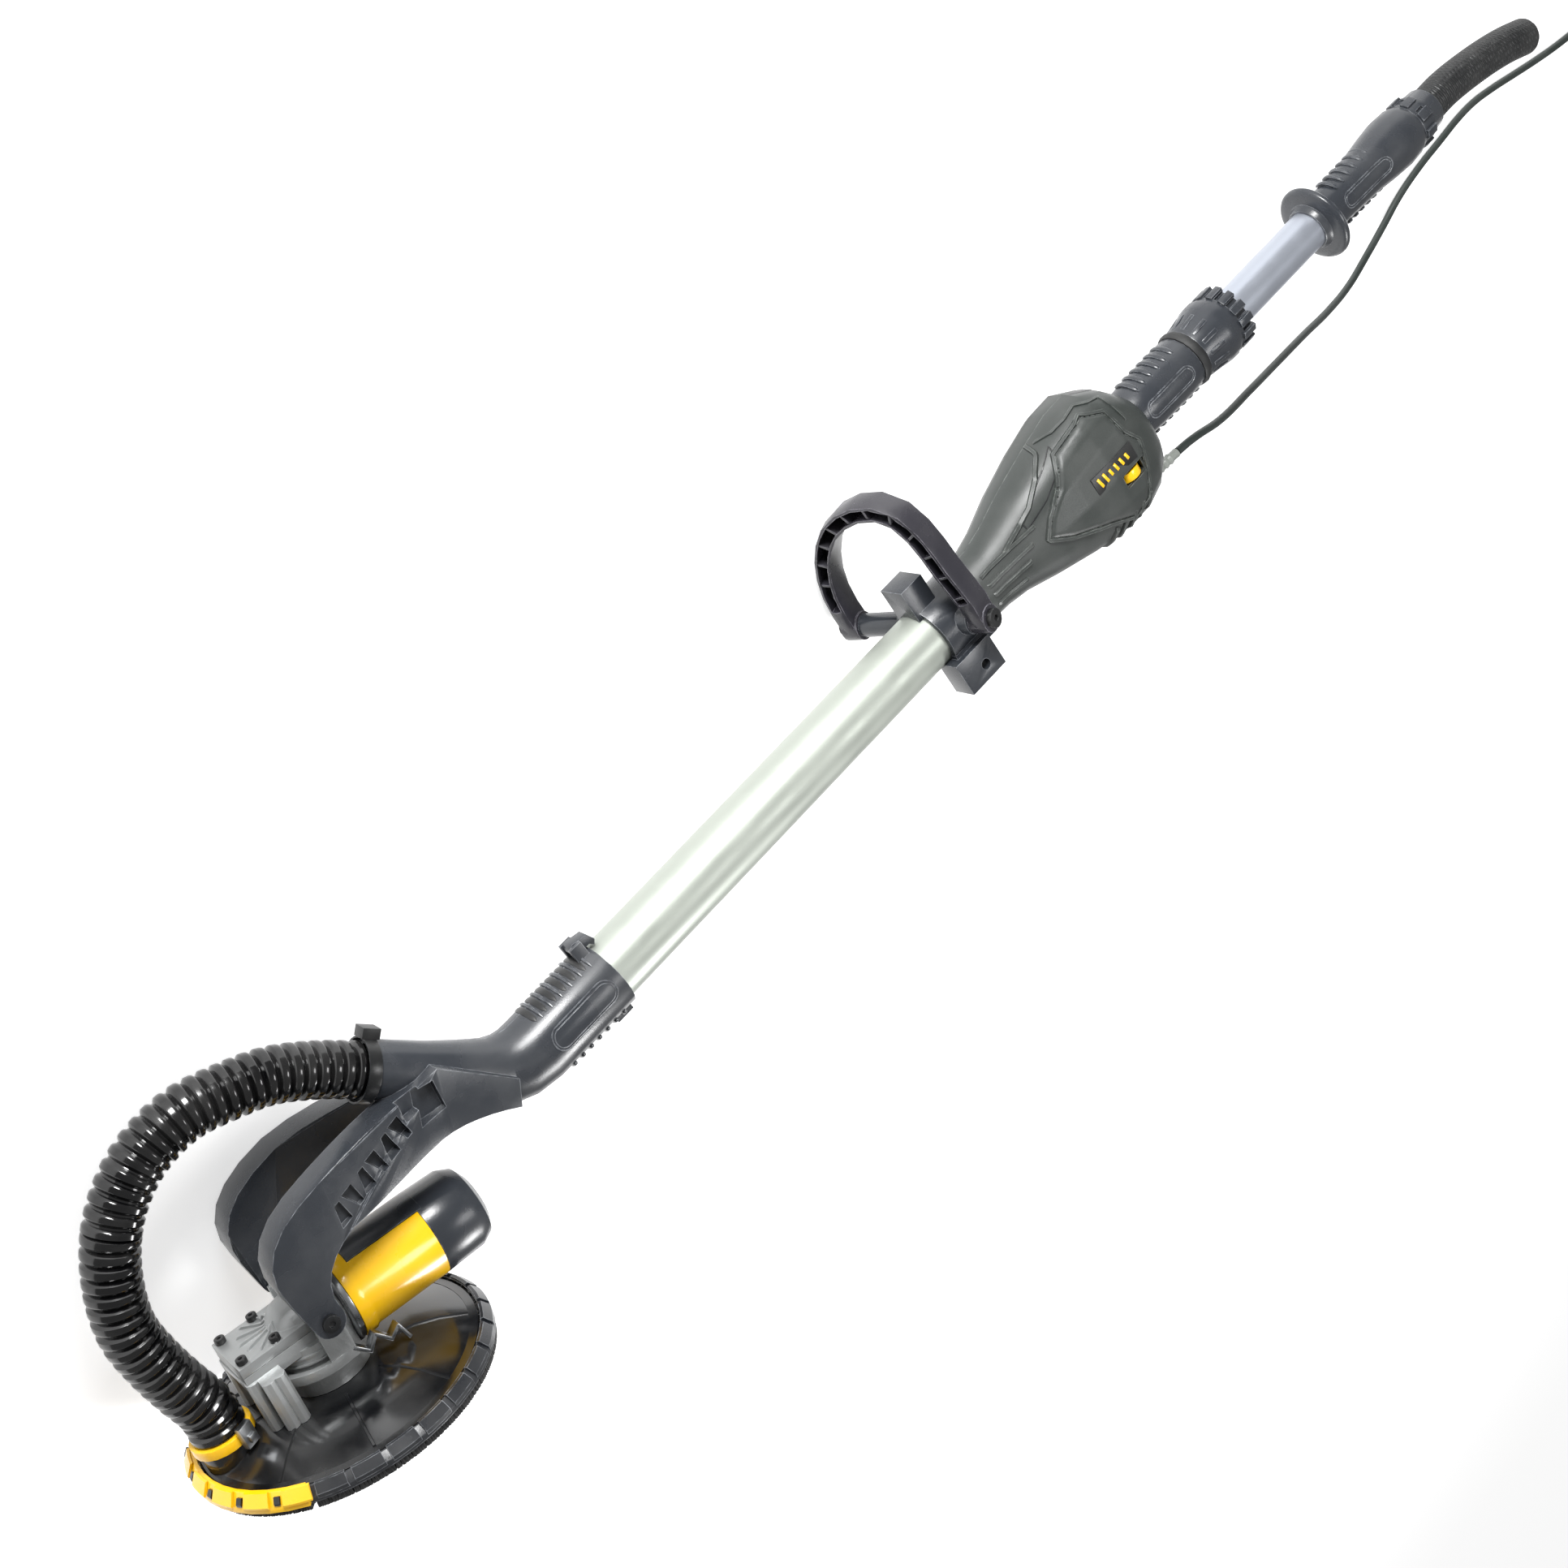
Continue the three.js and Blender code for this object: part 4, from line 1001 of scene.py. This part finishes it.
# ------------------------------------------------------------------ bristles
@dataclass
class Bristles:
    """The brush under the skirt, as tufts set by geometry nodes on an arc."""

    space: Matrix
    shop: Paintshop
    radius: float = 114.0
    low: float = -12.0
    rows: tuple[float, ...] = (-2.6, 0.0, 2.6)
    tufts_per_degree: float = 0.9
    tuft_radius: float = 1.7
    taper: float = 0.55
    lean: float = 0.09
    seed: int = 7

    def tree(self) -> bpy.types.NodeTree:
        """Makes the node tree that sets a tuft on each of its input points.

        Returns:
            The tree.
        """
        tree = bpy.data.node_groups.new("tufts", "GeometryNodeTree")
        inputs = {"Geometry": "Geometry", "Tuft Length": "Float", "Tuft Radius": "Float", "Lean": "Float",
                  "Seed": "Int", "Material": "Material"}  # fmt: skip
        for name, kind in inputs.items():
            tree.interface.new_socket(name, in_out="INPUT", socket_type=f"NodeSocket{kind}")
        tree.interface.new_socket("Geometry", in_out="OUTPUT", socket_type="NodeSocketGeometry")
        nodes, links = tree.nodes, tree.links
        source, sink = nodes.new("NodeGroupInput"), nodes.new("NodeGroupOutput")
        tuft = nodes.new("GeometryNodeMeshCone")
        tuft.inputs["Vertices"].default_value = 5
        links.new(source.outputs["Tuft Radius"], tuft.inputs["Radius Bottom"])
        links.new(source.outputs["Tuft Length"], tuft.inputs["Depth"])
        thin = multiply(tree, source.outputs["Tuft Radius"], self.taper)
        links.new(thin, tuft.inputs["Radius Top"])
        wander = nodes.new("FunctionNodeRandomValue")
        wander.data_type = "FLOAT_VECTOR"
        links.new(source.outputs["Lean"], wander.inputs["Max"])
        links.new(multiply(tree, source.outputs["Lean"], -1), wander.inputs["Min"])
        links.new(source.outputs["Seed"], wander.inputs["Seed"])
        place = nodes.new("GeometryNodeInstanceOnPoints")
        links.new(source.outputs["Geometry"], place.inputs["Points"])
        links.new(tuft.outputs["Mesh"], place.inputs["Instance"])
        links.new(wander.outputs[0], place.inputs["Rotation"])
        real = nodes.new("GeometryNodeRealizeInstances")
        paint = nodes.new("GeometryNodeSetMaterial")
        links.new(place.outputs["Instances"], real.inputs["Geometry"])
        links.new(real.outputs["Geometry"], paint.inputs["Geometry"])
        links.new(source.outputs["Material"], paint.inputs["Material"])
        links.new(paint.outputs["Geometry"], sink.inputs["Geometry"])
        return tree

    def brush(
        self, tree: bpy.types.NodeTree, name: str, node: str, body: str, low: float, high: float
    ) -> None:
        """Makes one arc of the brush.

        Args:
            tree: the tuft tree.
            name: the piece's name.
            node: the node that it stands for.
            body: the body that it rides on.
            low: its first angle in degrees.
            high: its last angle in degrees.
        """
        rng = random.Random(self.seed)
        points = []
        for row in self.rows:
            count = int((high - low) * self.tufts_per_degree)
            for k in range(count):
                angle = math.radians(low + (high - low) * (k + rng.random() * 0.5) / count)
                reach = self.radius + row
                points.append((reach * math.cos(angle), reach * math.sin(angle), self.low / 2 - 0.2))
        data = bpy.data.meshes.new(f"{name}_points")
        data.from_pydata([tuple(v * MM for v in p) for p in points], [], [])
        carrier = put_in_scene(f"{name}_points", data)
        modifier = carrier.modifiers.new("tufts", "NODES")
        modifier.node_group = tree
        values = {"Tuft Length": -self.low * MM, "Tuft Radius": self.tuft_radius * MM, "Lean": self.lean,
                  "Seed": self.seed, "Material": self.shop.material(BRISTLE)}  # fmt: skip
        for item in tree.interface.items_tree:
            if item.in_out == "INPUT" and item.name in values:
                modifier[item.identifier] = values[item.name]
        ready = carrier.evaluated_get(bpy.context.evaluated_depsgraph_get())
        mesh = bpy.data.meshes.new_from_object(ready)
        mesh.transform(self.space @ Matrix.Scale(1 / MM, 4))
        bpy.data.objects.remove(carrier)
        made = put_in_scene(name, mesh)
        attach(made, body)
        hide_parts(node)

    def build(self) -> None:
        """Makes the brush of the ring and of the removable segment."""
        tree = self.tree()
        self.brush(tree, "brush_ring", "bristle_skirt", "skirt", 234, 506)
        self.brush(tree, "brush_segment", "segment_bristles", "segment", 148, 232)


# ------------------------------------------------------------------ turned pieces
@dataclass
class TurnedPieces:
    """The tubes, the hand guard and the fluted parts, turned round the pole's axis."""

    space: ToolSpace
    shop: Paintshop
    rise: float = 6.0
    sides: int = 96
    collar_flutes: int = 14
    cuff_knuckles: int = 8

    def axis(self, rise: float) -> Matrix:
        """Gives a frame whose z runs along the pole, at a height above the pole's middle."""
        return self.space.sub(Matrix.Translation((0, 0, rise)) @ Matrix.Rotation(math.radians(90), 4, "Y"))

    def turn(
        self, name: str, section: Sequence[Point], look: Finish, body: str, node: str, rise: float
    ) -> None:
        """Turns a closed section and stands it in for a node.

        Args:
            name: the piece's name.
            section: points as (place along the pole, radius).
            look: its finish.
            body: the body that it rides on.
            node: the node that it stands for.
            rise: how far its axis is above the pole's.
        """
        draft = Draft(self.axis(rise))
        draft.lathe([(r, x) for x, r in section], self.sides)
        made = draft.finish(name, body, self.shop.material(look), look.name)
        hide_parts(node)

    def build(self) -> None:
        """Makes the tubes and the guard."""
        tube = [(-60, 24.2), (-60, 25.4), (-59.6, 25.7), (454.6, 25.7), (455, 25.4), (455, 24.2)]
        self.turn("pole_tube", tube, TUBE, "pole", "main_tube", 0)
        slim = [(330, 16.6), (330, 17.6), (330.4, 17.9), (944.6, 17.9), (945, 17.6), (945, 16.6)]
        self.turn("slide_tube", slim, SLIM, "rear", "rear_tube", self.rise)
        guard = [(896, 18.2), (896, 19.4), (897, 20.2), (900, 20.8), (901.8, 22.5), (902.4, 27), (903, 32),
                 (904.2, 34.2), (906, 35.2), (908.2, 35.2), (909.6, 34.2), (909.8, 32.8), (908.6, 31.6),
                 (907, 30), (906.4, 26), (906.8, 22), (910.9, 20.6), (911, 18.2)]  # fmt: skip
        self.turn("guard_flange", guard, GREY, "rear", "hand_guard", self.rise)
        self.flutes()

    def flutes(self) -> None:
        """Adds the long flutes of the twist collar and the knuckles of the tail cuff."""
        collar, cuff = Draft(self.space.matrix), Draft(self.space.matrix)
        up = Vector((0, 0, self.rise))
        for k in range(self.collar_flutes):
            turn = Matrix.Rotation(2 * math.pi * (k + 0.5) / self.collar_flutes, 4, "X")
            at = turn @ Vector((774, 0, 28.1)) + up
            collar.block((15, 7.0, 2.6), at, turn, 0.7)
            low = turn @ Vector((737, 0, 26.2)) + up
            tilt = turn @ Matrix.Rotation(math.radians(-9), 4, "Y")
            collar.block((17, 4.2, 2.4), low, tilt, 0.7)
        for k in range(self.cuff_knuckles):
            turn = Matrix.Rotation(2 * math.pi * (k + 0.5) / self.cuff_knuckles, 4, "X")
            at = turn @ Vector((1049, 0, 22.2)) + up
            cuff.block((13, 9, 4.2), at, turn, 0.9)
        collar.finish("collar_flutes", "collar", self.shop.material(GREY), "grey_plastic")
        cuff.finish("cuff_knuckles", "rear", self.shop.material(GREY), "grey_plastic")


# ------------------------------------------------------------------ detail on the frame's pieces
@dataclass
class HeadDetail:
    """Blocks on the skirt ring, slots in the segment drawn as painted shade, ribs on the shroud and gearbox.
    """

    space: ToolSpace
    shop: Paintshop
    nodes: dict
    block_step: float = 13.6
    block_gap: float = 2.4
    slots: int = 5
    ribs: int = 9
    fan: int = 7
    bracket: Outline = ((14, 46), (23, 36), (31, 45), (40, 34), (48, 40), (52, 27))

    def build(self) -> None:
        """Adds the head's details."""
        head = self.space.sub(head_frame())
        self.ring_blocks(head)
        self.gearbox_ribs(head)
        self.segment_slots(head)
        self.shroud_ribs(head)

    def ring_blocks(self, head: Matrix) -> None:
        """Adds the raised blocks round the skirt ring.

        Args:
            head: the head's frame.
        """
        draft = Draft(head)
        section = [(119.9, 2.2), (120.0, 5.4), (115.2, 11.8), (112.6, 11.8), (112.6, 9), (118, 2.2)]
        at = 236.0
        while at + self.block_step < 505:
            draft.arc(section, at, at + self.block_step - self.block_gap, 6)
            at += self.block_step
        draft.finish("ring_blocks", "skirt", self.shop.material(RING), "ring_plastic")

    def gearbox_ribs(self, head: Matrix) -> None:
        """Adds the fan of ribs on the gearbox and the bent bracket behind it.

        Args:
            head: the head's frame.
        """
        names = ("gearbox_cover", "gearbox_housing")
        skin = Skin(head, [self.nodes[n] for n in names])
        fan, bracket = Draft(head), Draft(head)
        for k in range(self.fan):
            angle = math.radians(110 + 23 * k)
            way = (math.cos(angle), math.sin(angle))
            route = [(-18 + way[0] * d, way[1] * d, 160) for d in (7, 30)]
            skin.strip(fan, route, (0, 0, -1), 2.6, 1.8)
        for z in (44, 50, 56):
            skin.strip(fan, [(-34, BESIDE, z), (4, BESIDE, z)], ACROSS, 2.2, 1.5)
        for (e0, n0), (e1, n1) in zip(self.bracket, self.bracket[1:]):
            slope = math.atan2(n0 - n1, e1 - e0)
            long = math.hypot(e1 - e0, n1 - n0)
            turn = Matrix.Rotation(slope, 4, "Y")
            bracket.block((long + 2.4, 9, 3.0), ((e0 + e1) / 2, -37, (n0 + n1) / 2), turn, 0.6)
        fan.finish("gearbox_ribs", "head", self.shop.material(CAST), "cast")
        bracket.finish("bent_bracket", "head", self.shop.material(STEEL), "steel")

    def segment_slots(self, head: Matrix) -> None:
        """Adds black arcs that paint the shade in the yellow segment's slots, and the segment's raised lips.

        Args:
            head: the head's frame.
        """
        slots, lips = Draft(head), Draft(head)
        for k in range(self.slots):
            at = 158 + 16 * k
            # Black arcs paint the shade inside each slot.
            slots.arc([(121.6, 5.6), (121.8, 7.6), (118.6, 11.3), (117, 10.4)], at - 1.1, at + 1.1, 2)
            lips.arc([(122.8, 4.4), (122.9, 6), (117, 13.9), (115, 13.9), (121, 5)], at + 2.2, at + 12.6, 6)
        slots.finish("segment_slots", "segment", self.shop.material(BLACK), "yellow")
        lips.finish("segment_lips", "segment", self.shop.material(YELLOW), "yellow")

    def shroud_ribs(self, head: Matrix) -> None:
        """Adds the raised ribs that run out over the shroud.

        Args:
            head: the head's frame.
        """
        draft = Draft(head)
        line = [(46, 21.4), (66, 21.4), (84, 17.4), (104, 9.6)]
        for k in range(self.ribs):
            angle = math.radians(20 + 360 * k / self.ribs)
            way = Vector((math.cos(angle), math.sin(angle), 0))
            side = Vector((-math.sin(angle), math.cos(angle), 0))
            rings = []
            for r, z in line:
                low = way * r + Vector((0, 0, z))
                high = low + Vector((0, 0, 2.0))
                rings.append([low - side * 1.5, low + side * 1.5, high + side * 0.9, high - side * 0.9])
            draft.rings(rings)
        rim = [(104, 10.5), (108, 9.6), (110, 9.4), (110, 8), (104, 8)]
        draft.lathe(rim, 96)
        draft.finish("shroud_ribs", "head", self.shop.material(SHROUD), "shroud_plastic")


@dataclass
class HandleDetail:
    """Cross ribs in the D-handle's channel."""

    space: ToolSpace
    shop: Paintshop
    line: tuple[tuple[float, float], ...] = (
        (-46, 0), (-46, 14), (-38, 50), (-29, 92), (-14, 114), (14, 118), (45, 104), (67, 77), (79, 46),
        (81, 20), (79, 0),
    )  # fmt: skip
    gap: float = 21.0

    def build(self) -> None:
        """Adds the ribs."""
        draft = Draft(self.space.sub(handle_frame()))
        path = evenly(through([(0, y, z) for y, z in self.line], 16), self.gap, 0.1, 0.9)
        for a, b in zip(path, path[1:]):
            ahead = (b - a).normalized()
            across = Vector((1, 0, 0)).cross(ahead).normalized()
            turn = Matrix((Vector((1, 0, 0)), across, ahead)).transposed().to_4x4()
            draft.block((17, 10.6, 2.0), a + Vector((-1.6, 0, 0)), turn, 0.3)
        draft.finish("handle_ribs", "handle", self.shop.material(HANDLE), "handle_plastic")


@dataclass
class Band:
    """Short raised or dark bars that follow a round grip."""

    first: float
    step: float
    count: int
    reach: float
    rise: float
    width: float
    middle: float
    half: float


@dataclass
class GripDetail:
    """The pads, grooves and teeth of the neck, middle and rear grips."""

    space: ToolSpace
    shop: Paintshop
    nodes: dict
    panels: tuple[tuple[str, str, float, float, float, float], ...] = (
        ("neck_shell_near", "neck", -72, -8, 4, 10), ("mid_grip", "pole", 648, 706, 7, 8),
        ("rear_grip", "rear", 930, 992, 7, 7.5),
    )  # fmt: skip

    def bars(self, draft: Draft, band: Band, thick: float = 1.2) -> None:
        """Adds bars round the x axis, each with rounded ends.

        Args:
            draft: the draft that takes them.
            band: their places.
            thick: how far they stand out.
        """
        for k in range(band.count):
            x = band.first + band.step * k
            rings = []
            for i in range(13):
                share = i / 12 * 2 - 1
                angle = math.radians(band.middle + band.half * share)
                slim = math.sqrt(max(0.06, 1 - share**4))
                out = Vector((0, math.cos(angle), math.sin(angle)))
                base = Vector((x, 0, band.rise)) + out * (band.reach - 0.6)
                half = band.width / 2 * slim
                top = out * (thick * slim + 0.6)
                profile = ((-1, 0), (-1, 0.7), (-0.5, 1), (0.5, 1), (1, 0.7), (1, 0))
                rings.append([base + top * lift + Vector((half * along, 0, 0)) for along, lift in profile])
            draft.rings(rings)

    def build(self) -> None:
        """Adds the details of all three grips."""
        grey, black = self.shop.material(GREY), self.shop.material(BLACK)
        neck, dark, mid, rear = (Draft(self.space.matrix) for _ in range(4))
        # Low black bars between the neck ribs paint the shade in the grip's pockets.
        self.bars(dark, Band(-68, 10.5, 6, 29.5, 0, 5.2, 92, 33), 0.5)
        self.bars(neck, Band(-62.8, 10.5, 6, 29.5, 0, 2.6, 92, 36), 1.5)
        self.bars(neck, Band(-66, 9, 7, 29.5, 0, 4, 250, 16), 2.2)
        self.bars(mid, Band(655, 9.5, 6, 25.2, 6, 4.6, 95, 34), 1.6)
        self.bars(mid, Band(657, 9, 7, 25.2, 6, 5, 262, 18), 2.0)
        self.bars(rear, Band(934, 9.5, 7, 20.6, 6, 4.6, 95, 36), 2.0)
        self.bars(rear, Band(936, 9, 8, 20.6, 6, 5, 262, 20), 2.4)
        for node, body, low, high, middle, half in self.panels:
            skin = Skin(self.space.matrix, [self.nodes[node]])
            edge = Draft(self.space.matrix)
            skin.strip(edge, beside(stadium(low, high, middle, half)), ACROSS, 1.5, 0.45)
            skin.strip(edge, beside(stadium(low + 2, high - 2, middle, half - 2)), ACROSS, 1.0, 0.2)
            edge.finish(f"{node}_panel", body, grey, "grey_plastic")
        neck.finish("neck_grip_ribs", "neck", grey, "grey_plastic")
        dark.finish("neck_grip_pocket_shade", "neck", black, "grey_plastic")
        mid.finish("mid_grip_ribs", "pole", grey, "grey_plastic")
        rear.finish("rear_grip_ribs", "rear", grey, "grey_plastic")


@dataclass
class HousingDetail:
    """Ribs, raised panel, louvres and label bars of the control housing, laid on its skin."""

    space: ToolSpace
    shop: Paintshop
    nodes: dict
    neck_ribs: tuple[float, ...] = (-11, -2, 7, 16)
    panel: Outline = (
        (528, 30), (545, 50), (584, 58), (602, 48), (606, 24), (616, 8), (608, -16), (596, -38), (578, -42),
        (552, -28), (516, -12), (496, 2), (508, 16), (528, 30),
    )  # fmt: skip
    panel_height: float = 2.6
    ridge: Outline = ((462, 18), (500, 32), (524, 46), (548, 60))
    shoulder: Outline = ((548, 58), (590, 63), (612, 54), (616, 28))
    groove: Outline = (
        (488, 26), (512, 38), (534, 48), (550, 55), (538, 40), (515, 28), (488, 20), (488, 26),
    )  # fmt: skip
    seam: Outline = ((430, 90), (636, 90))
    louvres: int = 5
    bar_lengths: tuple[float, ...] = (5.5, 5.5, 4, 4.5, 4.5, 4)

    def build(self) -> None:
        """Adds the housing's details."""
        skin = Skin(self.space.matrix, [self.nodes["housing_near"], self.nodes["housing_far"]])
        draft, dark, bars = (Draft(self.space.matrix) for _ in range(3))
        for z in self.neck_ribs:
            skin.strip(draft, beside([(433, z), (478 + z, z * 1.2)]), ACROSS, 4.5, 1.6)
        skin.patch(draft, self.panel, self.panel_height)
        edges = ((self.panel, 4.6, 2.0), (self.ridge, 5.0, 2.0), (self.shoulder, 3.4, 1.4))
        for line, width, height in edges:
            skin.strip(draft, beside(line), ACROSS, width, height)
        # Black strips: in the groove they paint its shade, and along the seam they are the housing's dark
        # joint.
        skin.strip(dark, beside(self.groove), ACROSS, 1.4, 0.35)
        skin.strip(dark, [(x, 0, z) for x, z in self.seam], (0, 0, -1), 0.7, 0.12)
        for k in range(self.louvres):
            x = 548 + 11 * k
            skin.strip(draft, beside([(x, -50 + k), (x + 9, -36 + k)]), ACROSS, 5.0, 2.6)
            # A black strip beside each louvre paints the shade in its gap.
            skin.strip(dark, beside([(x + 4, -50 + k), (x + 12, -38 + k)]), ACROSS, 2.2, 0.6)
        slant = Matrix.Rotation(math.radians(-14), 4, "Y")
        for k, long in enumerate(self.bar_lengths):
            bars.block((2.6, 0.8, 2 * long - 2), (559.5 + 6.8 * k, -46.6, 9), slant, 0.2)
        draft.finish("housing_ribs", "pole", self.shop.material(HOUSING), "green_plastic")
        dark.finish("housing_seam_and_groove_shade", "pole", self.shop.material(BLACK), "green_plastic")
        bars.finish("label_bars", "pole", self.shop.material(YELLOW), "yellow")


# ------------------------------------------------------------------ stage
@dataclass(frozen=True)
class View:
    """The camera's place in the tool frame and its lens."""

    at: Point = (-383.9, -1570.4, 905.8)
    right: Point = (0.6575, -0.5455, -0.5198)
    up: Point = (0.6873, 0.1515, 0.7104)
    back: Point = (-0.3088, -0.8243, 0.4745)
    lens: float = 56.23

    def build(self, space: ToolSpace) -> None:
        """Sets the camera.

        Args:
            space: the tool's frame.
        """
        data = bpy.data.cameras.new("camera")
        data.lens = self.lens
        data.sensor_width = 36
        data.clip_end = 50
        camera = put_in_scene("camera", data)
        turn = space.matrix.to_3x3() * (1 / MM)
        axes = [(turn @ Vector(v)).normalized() for v in (self.right, self.up, self.back)]
        place = Matrix(axes).transposed().to_4x4()
        place.translation = space.matrix @ Vector(self.at)
        camera.matrix_world = place
        bpy.context.scene.camera = camera


@dataclass
class Studio:
    """A pale floor and soft lights."""

    view: View
    space: ToolSpace

    def light(self, name: str, at: Vector, size: float, power: float, target: Vector) -> None:
        """Adds a square soft light that faces a target.

        Args:
            name: its name.
            at: its place.
            size: its side.
            power: its power in watts.
            target: what it faces.
        """
        data = bpy.data.lights.new(name, "AREA")
        data.size = size
        data.energy = power
        lamp = put_in_scene(name, data)
        lamp.location = at
        lamp.rotation_euler = (target - at).to_track_quat("-Z", "Y").to_euler()

    def build(self) -> None:
        """Lays the floor and sets the lights."""
        mesh = bmesh.new()
        bmesh.ops.create_grid(mesh, x_segments=1, y_segments=1, size=30)
        data = bpy.data.meshes.new("floor")
        mesh.to_mesh(data)
        mesh.free()
        floor = put_in_scene("floor", data)
        pale = bpy.data.materials.new("floor")
        pale.use_nodes = True
        shader = pale.node_tree.nodes["Principled BSDF"]
        values = {"Base Color": (0.9, 0.9, 0.9, 1), "Roughness": 0.9, "Emission Color": (1, 1, 1, 1),
                  "Emission Strength": 0.6}  # fmt: skip
        for name, value in values.items():
            shader.inputs[name].default_value = value
        data.materials.append(pale)
        world = bpy.data.worlds.new("studio")
        world.use_nodes = True
        sky = world.node_tree.nodes["Background"]
        sky.inputs["Color"].default_value = (1, 1, 1, 1)
        sky.inputs["Strength"].default_value = 0.34
        bpy.context.scene.world = world
        target = Vector((0, 0, 0.1))
        turn = self.space.matrix.to_3x3()
        axes = (self.view.up, self.view.right, self.view.back)
        up, right, back = ((turn @ Vector(axis)).normalized() for axis in axes)
        self.light("key", target + up * 1.5 - right * 1.0 + back * 1.3 + Vector((0, 0, 0.9)), 0.7, 74, target)
        self.light("fill", target + right * 1.8 + back * 1.2 + Vector((0, 0, 0.4)), 0.7, 16, target)
        self.light("rim", Vector((-0.2, -1.5, 1.6)), 0.6, 30, target)
        bpy.context.scene.view_settings.view_transform = "Standard"


def main() -> None:
    """Builds the looks."""
    logging.basicConfig(level=logging.INFO)
    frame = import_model()
    space = ToolSpace.lying(-111.96, -1.163, frame["joints"])
    view = View()
    view.build(space)
    Studio(view, space).build()
    shop, nodes = Paintshop(), frame["nodes"]
    parts = (
        FramePieces(frame, shop), PowerCord(shop), FrontHose(space, shop), SleeveHose(space, shop),
        TurnedPieces(space, shop), Bristles(space.sub(head_frame()), shop), HeadDetail(space, shop, nodes),
        HandleDetail(space, shop), GripDetail(space, shop, nodes), HousingDetail(space, shop, nodes),
    )  # fmt: skip
    for part in parts:
        part.build()
        LOG.info("built %s", type(part).__name__)


if __name__ == "__main__":
    main()
